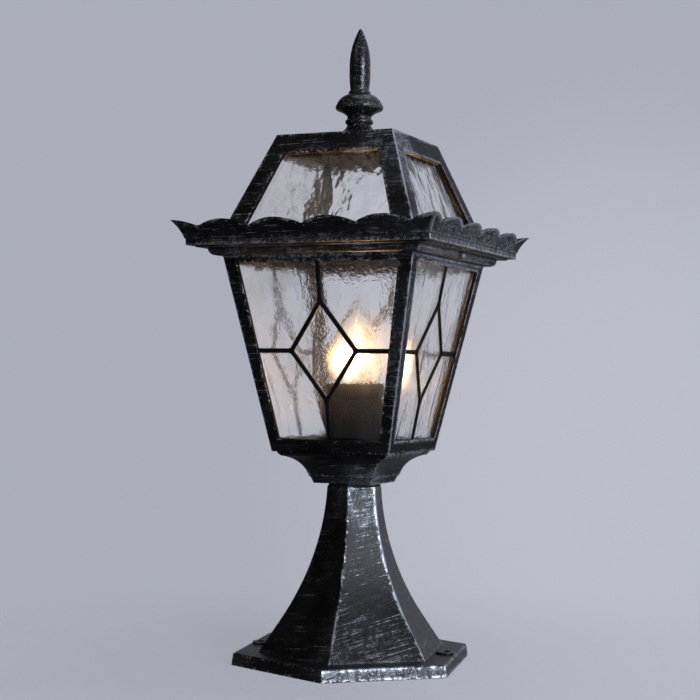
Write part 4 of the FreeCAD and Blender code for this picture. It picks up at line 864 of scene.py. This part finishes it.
def coiled_filament():
    low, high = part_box("filament")
    half = (high.x - low.x) / 2 - FILAMENT_ROD
    foot, crown = low.z + FILAMENT_ROD, high.z - FILAMENT_ROD
    count = COIL_TURNS * COIL_STEPS
    spine = []
    for k in range(count + 1):
        along = 2 * k / count - 1
        angle = 2 * math.pi * k / COIL_STEPS
        level = foot + (crown - foot) * (1 - along * along)
        rise = level + COIL_RADIUS * math.sin(angle)
        spine.append(Vector((half * along, COIL_RADIUS * math.cos(angle), rise)))
    points, faces = [], []
    for k, place in enumerate(spine):
        ahead = (spine[min(k + 1, count)] - spine[max(k - 1, 0)]).normalized()
        out = ahead.cross(Vector((1, 0, 0))).normalized()
        up = ahead.cross(out)
        for m in range(COIL_SIDES):
            turn = 2 * math.pi * m / COIL_SIDES
            points.append(place + COIL_WIRE * (math.cos(turn) * out + math.sin(turn) * up))
    for k in range(count):
        for m in range(COIL_SIDES):
            a, b = k * COIL_SIDES + m, k * COIL_SIDES + (m + 1) % COIL_SIDES
            faces.append((a, b, b + COIL_SIDES, a + COIL_SIDES))
    faces.append(tuple(range(COIL_SIDES))[::-1])
    faces.append(tuple(count * COIL_SIDES + m for m in range(COIL_SIDES)))
    stand_in("filament_coil", "filament", points, faces)


def lampholder_collar():
    low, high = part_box("lampholder_housing")
    radius = (high.x - low.x) / 2
    middle = (low + high) / 2
    points, faces = [], []
    corners = len(COLLAR_PROFILE)
    for k in range(COLLAR_SIDES):
        turn = 2 * math.pi * k / COLLAR_SIDES
        for inset, rise in COLLAR_PROFILE:
            reach = radius - inset * MM
            x = middle.x + reach * math.cos(turn)
            y = middle.y + reach * math.sin(turn)
            points.append((x, y, high.z + rise * MM))
    for k in range(COLLAR_SIDES):
        here, there = k * corners, (k + 1) % COLLAR_SIDES * corners
        for m in range(corners):
            after = (m + 1) % corners
            faces.append((here + m, there + m, there + after, here + after))
    fitted("lampholder_collar", "lampholder_housing", points, faces)


coiled_filament()
lampholder_collar()


# Lamps, world, floor and camera

def placed_light(name, kind, place, power, colour):
    light = bpy.data.lights.new(name, kind)
    light.energy = power
    light.color = colour
    thing = bpy.data.objects.new(name, light)
    bpy.context.scene.collection.objects.link(thing)
    thing.location = place
    return thing


def softbox(name, place, target, power, colour, width, height):
    thing = placed_light(name, "AREA", place, power, colour)
    thing.data.shape = "RECTANGLE"
    thing.data.size = width
    thing.data.size_y = height
    thing.rotation_mode = "QUATERNION"
    thing.rotation_quaternion = (Vector(target) - Vector(place)).to_track_quat("-Z", "Y")


def bulb_lights():
    """The bulb's light, and the glow that the panes spread round it, seen through glass only."""
    low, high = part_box("filament")
    middle = (low + high) / 2
    glow = placed_light("bulb_light", "POINT", middle, BULB_POWER, WARM_GLOW[:3])
    halo = placed_light("bulb_halo", "POINT", middle, HALO_POWER, WARM_HALO)
    for thing in (glow, halo):
        thing.data.shadow_soft_size = GLOW_RADIUS
        thing.visible_camera = False
    halo.visible_diffuse = False
    halo.visible_glossy = False
    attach(glow, "bulb")
    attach(halo, "bulb")


def studio_world():
    world = bpy.data.worlds.new("studio")
    world.use_nodes = True
    bpy.context.scene.world = world
    s = Shader("studio", world.node_tree)
    way = s.add("TexCoord").outputs["Generated"]
    height = s.dot(way, SKYWARD)
    path = s.add("LightPath").outputs

    # What glass loses at its faces is made up in what is seen through it
    shade = s.blend(s.between(s.dot(way, POOL_WAY), POOL_EDGE, 1.0), BACKDROP, BACKDROP_POOL)
    level = s.between(path["Transmission Depth"], 0.0, GLASS_FACES, 1.0, GLASS_GAIN)
    seen = s.add("Background", {"Color": shade, "Strength": level}).outputs[0]
    ambient = s.add("Background", {"Color": STUDIO_AMBIENT, "Strength": AMBIENT_STRENGTH}).outputs[0]

    # Mirrored, the studio is pale behind and to the right of the lamp, dark in front and to the left
    mirror = s.blend(s.between(height, *FLOOR_DIP), STUDIO_DARK, STUDIO_FLOOR)
    bright = s.between(s.dot(way, BRIGHT_SIDE), *BRIGHT_RANGE)
    bright = s.times(bright, s.between(height, *HORIZON, BRIGHT_LOW, 1.0))
    mirror = s.blend(bright, mirror, BACKDROP)
    mirrored = s.add("Background", {"Color": mirror, "Strength": 1.0}).outputs[0]

    reflected = s.math("GREATER_THAN", path["Glossy Depth"], 0.5)
    sight = s.most(path["Is Camera Ray"], path["Is Transmission Ray"])
    sight = s.times(sight, s.minus(1.0, reflected))
    surface = s.mixed(s.most(path["Is Glossy Ray"], reflected), ambient, mirrored)
    output = s.add("OutputWorld")
    s.put(output.inputs["Surface"], s.mixed(sight, surface, seen))


def studio_floor():
    """Pale floor that carries the shadow near the lamp and fades into the backdrop."""
    mesh = bpy.data.meshes.new("floor")
    rim = []
    for k in range(FLOOR_SIDES):
        turn = 2 * math.pi * k / FLOOR_SIDES
        rim.append((FLOOR_RADIUS * math.cos(turn), FLOOR_RADIUS * math.sin(turn), 0.0))
    mesh.from_pydata(rim, [], [tuple(range(FLOOR_SIDES))])
    floor = bpy.data.objects.new("floor", mesh)
    bpy.context.scene.collection.objects.link(floor)
    s = Shader("floor_paper")
    place = places(s)
    share = s.between(s.length(place), *FLOOR_SHOWN, 0.0, FLOOR_SHARE)
    body = s.add("BsdfPrincipled", {
        "Base Color": s.blend(s.noise(place, FLOOR_GRAIN), FLOOR_PAPER, FLOOR_PALE),
        "Roughness": FLOOR_ROUGHNESS,
    }).outputs[0]
    clear = s.add("BsdfTransparent").outputs[0]
    mesh.materials.append(s.finish(s.mixed(share, clear, body)))


def photo_camera():
    right = Vector((math.cos(CAMERA_AZIMUTH), math.sin(CAMERA_AZIMUTH), 0))
    level = Vector((-math.sin(CAMERA_AZIMUTH), math.cos(CAMERA_AZIMUTH), 0))
    up = Vector((0, 0, 1))
    ahead = level * math.cos(CAMERA_PITCH) + up * math.sin(CAMERA_PITCH)
    head = up * math.cos(CAMERA_PITCH) - level * math.sin(CAMERA_PITCH)
    side = right * math.cos(CAMERA_ROLL) + head * math.sin(CAMERA_ROLL)
    top = head * math.cos(CAMERA_ROLL) - right * math.sin(CAMERA_ROLL)
    data = bpy.data.cameras.new("camera")
    data.sensor_width = SENSOR_WIDTH
    data.lens = FOCAL_PIXELS / FRAME_PIXELS * SENSOR_WIDTH
    data.clip_start = CAMERA_CLIP
    camera = bpy.data.objects.new("camera", data)
    bpy.context.scene.collection.objects.link(camera)
    place = -level * CAMERA_DISTANCE + right * CAMERA_SIDESTEP + up * CAMERA_HEIGHT
    turn = Matrix((side, top, -ahead)).transposed().to_4x4()
    camera.matrix_world = Matrix.Translation(place) @ turn
    bpy.context.scene.camera = camera


for name, values in SOFTBOXES.items():
    softbox(name, *values)
bulb_lights()
studio_world()
studio_floor()
photo_camera()
bpy.context.scene.view_settings.view_transform = "Standard"
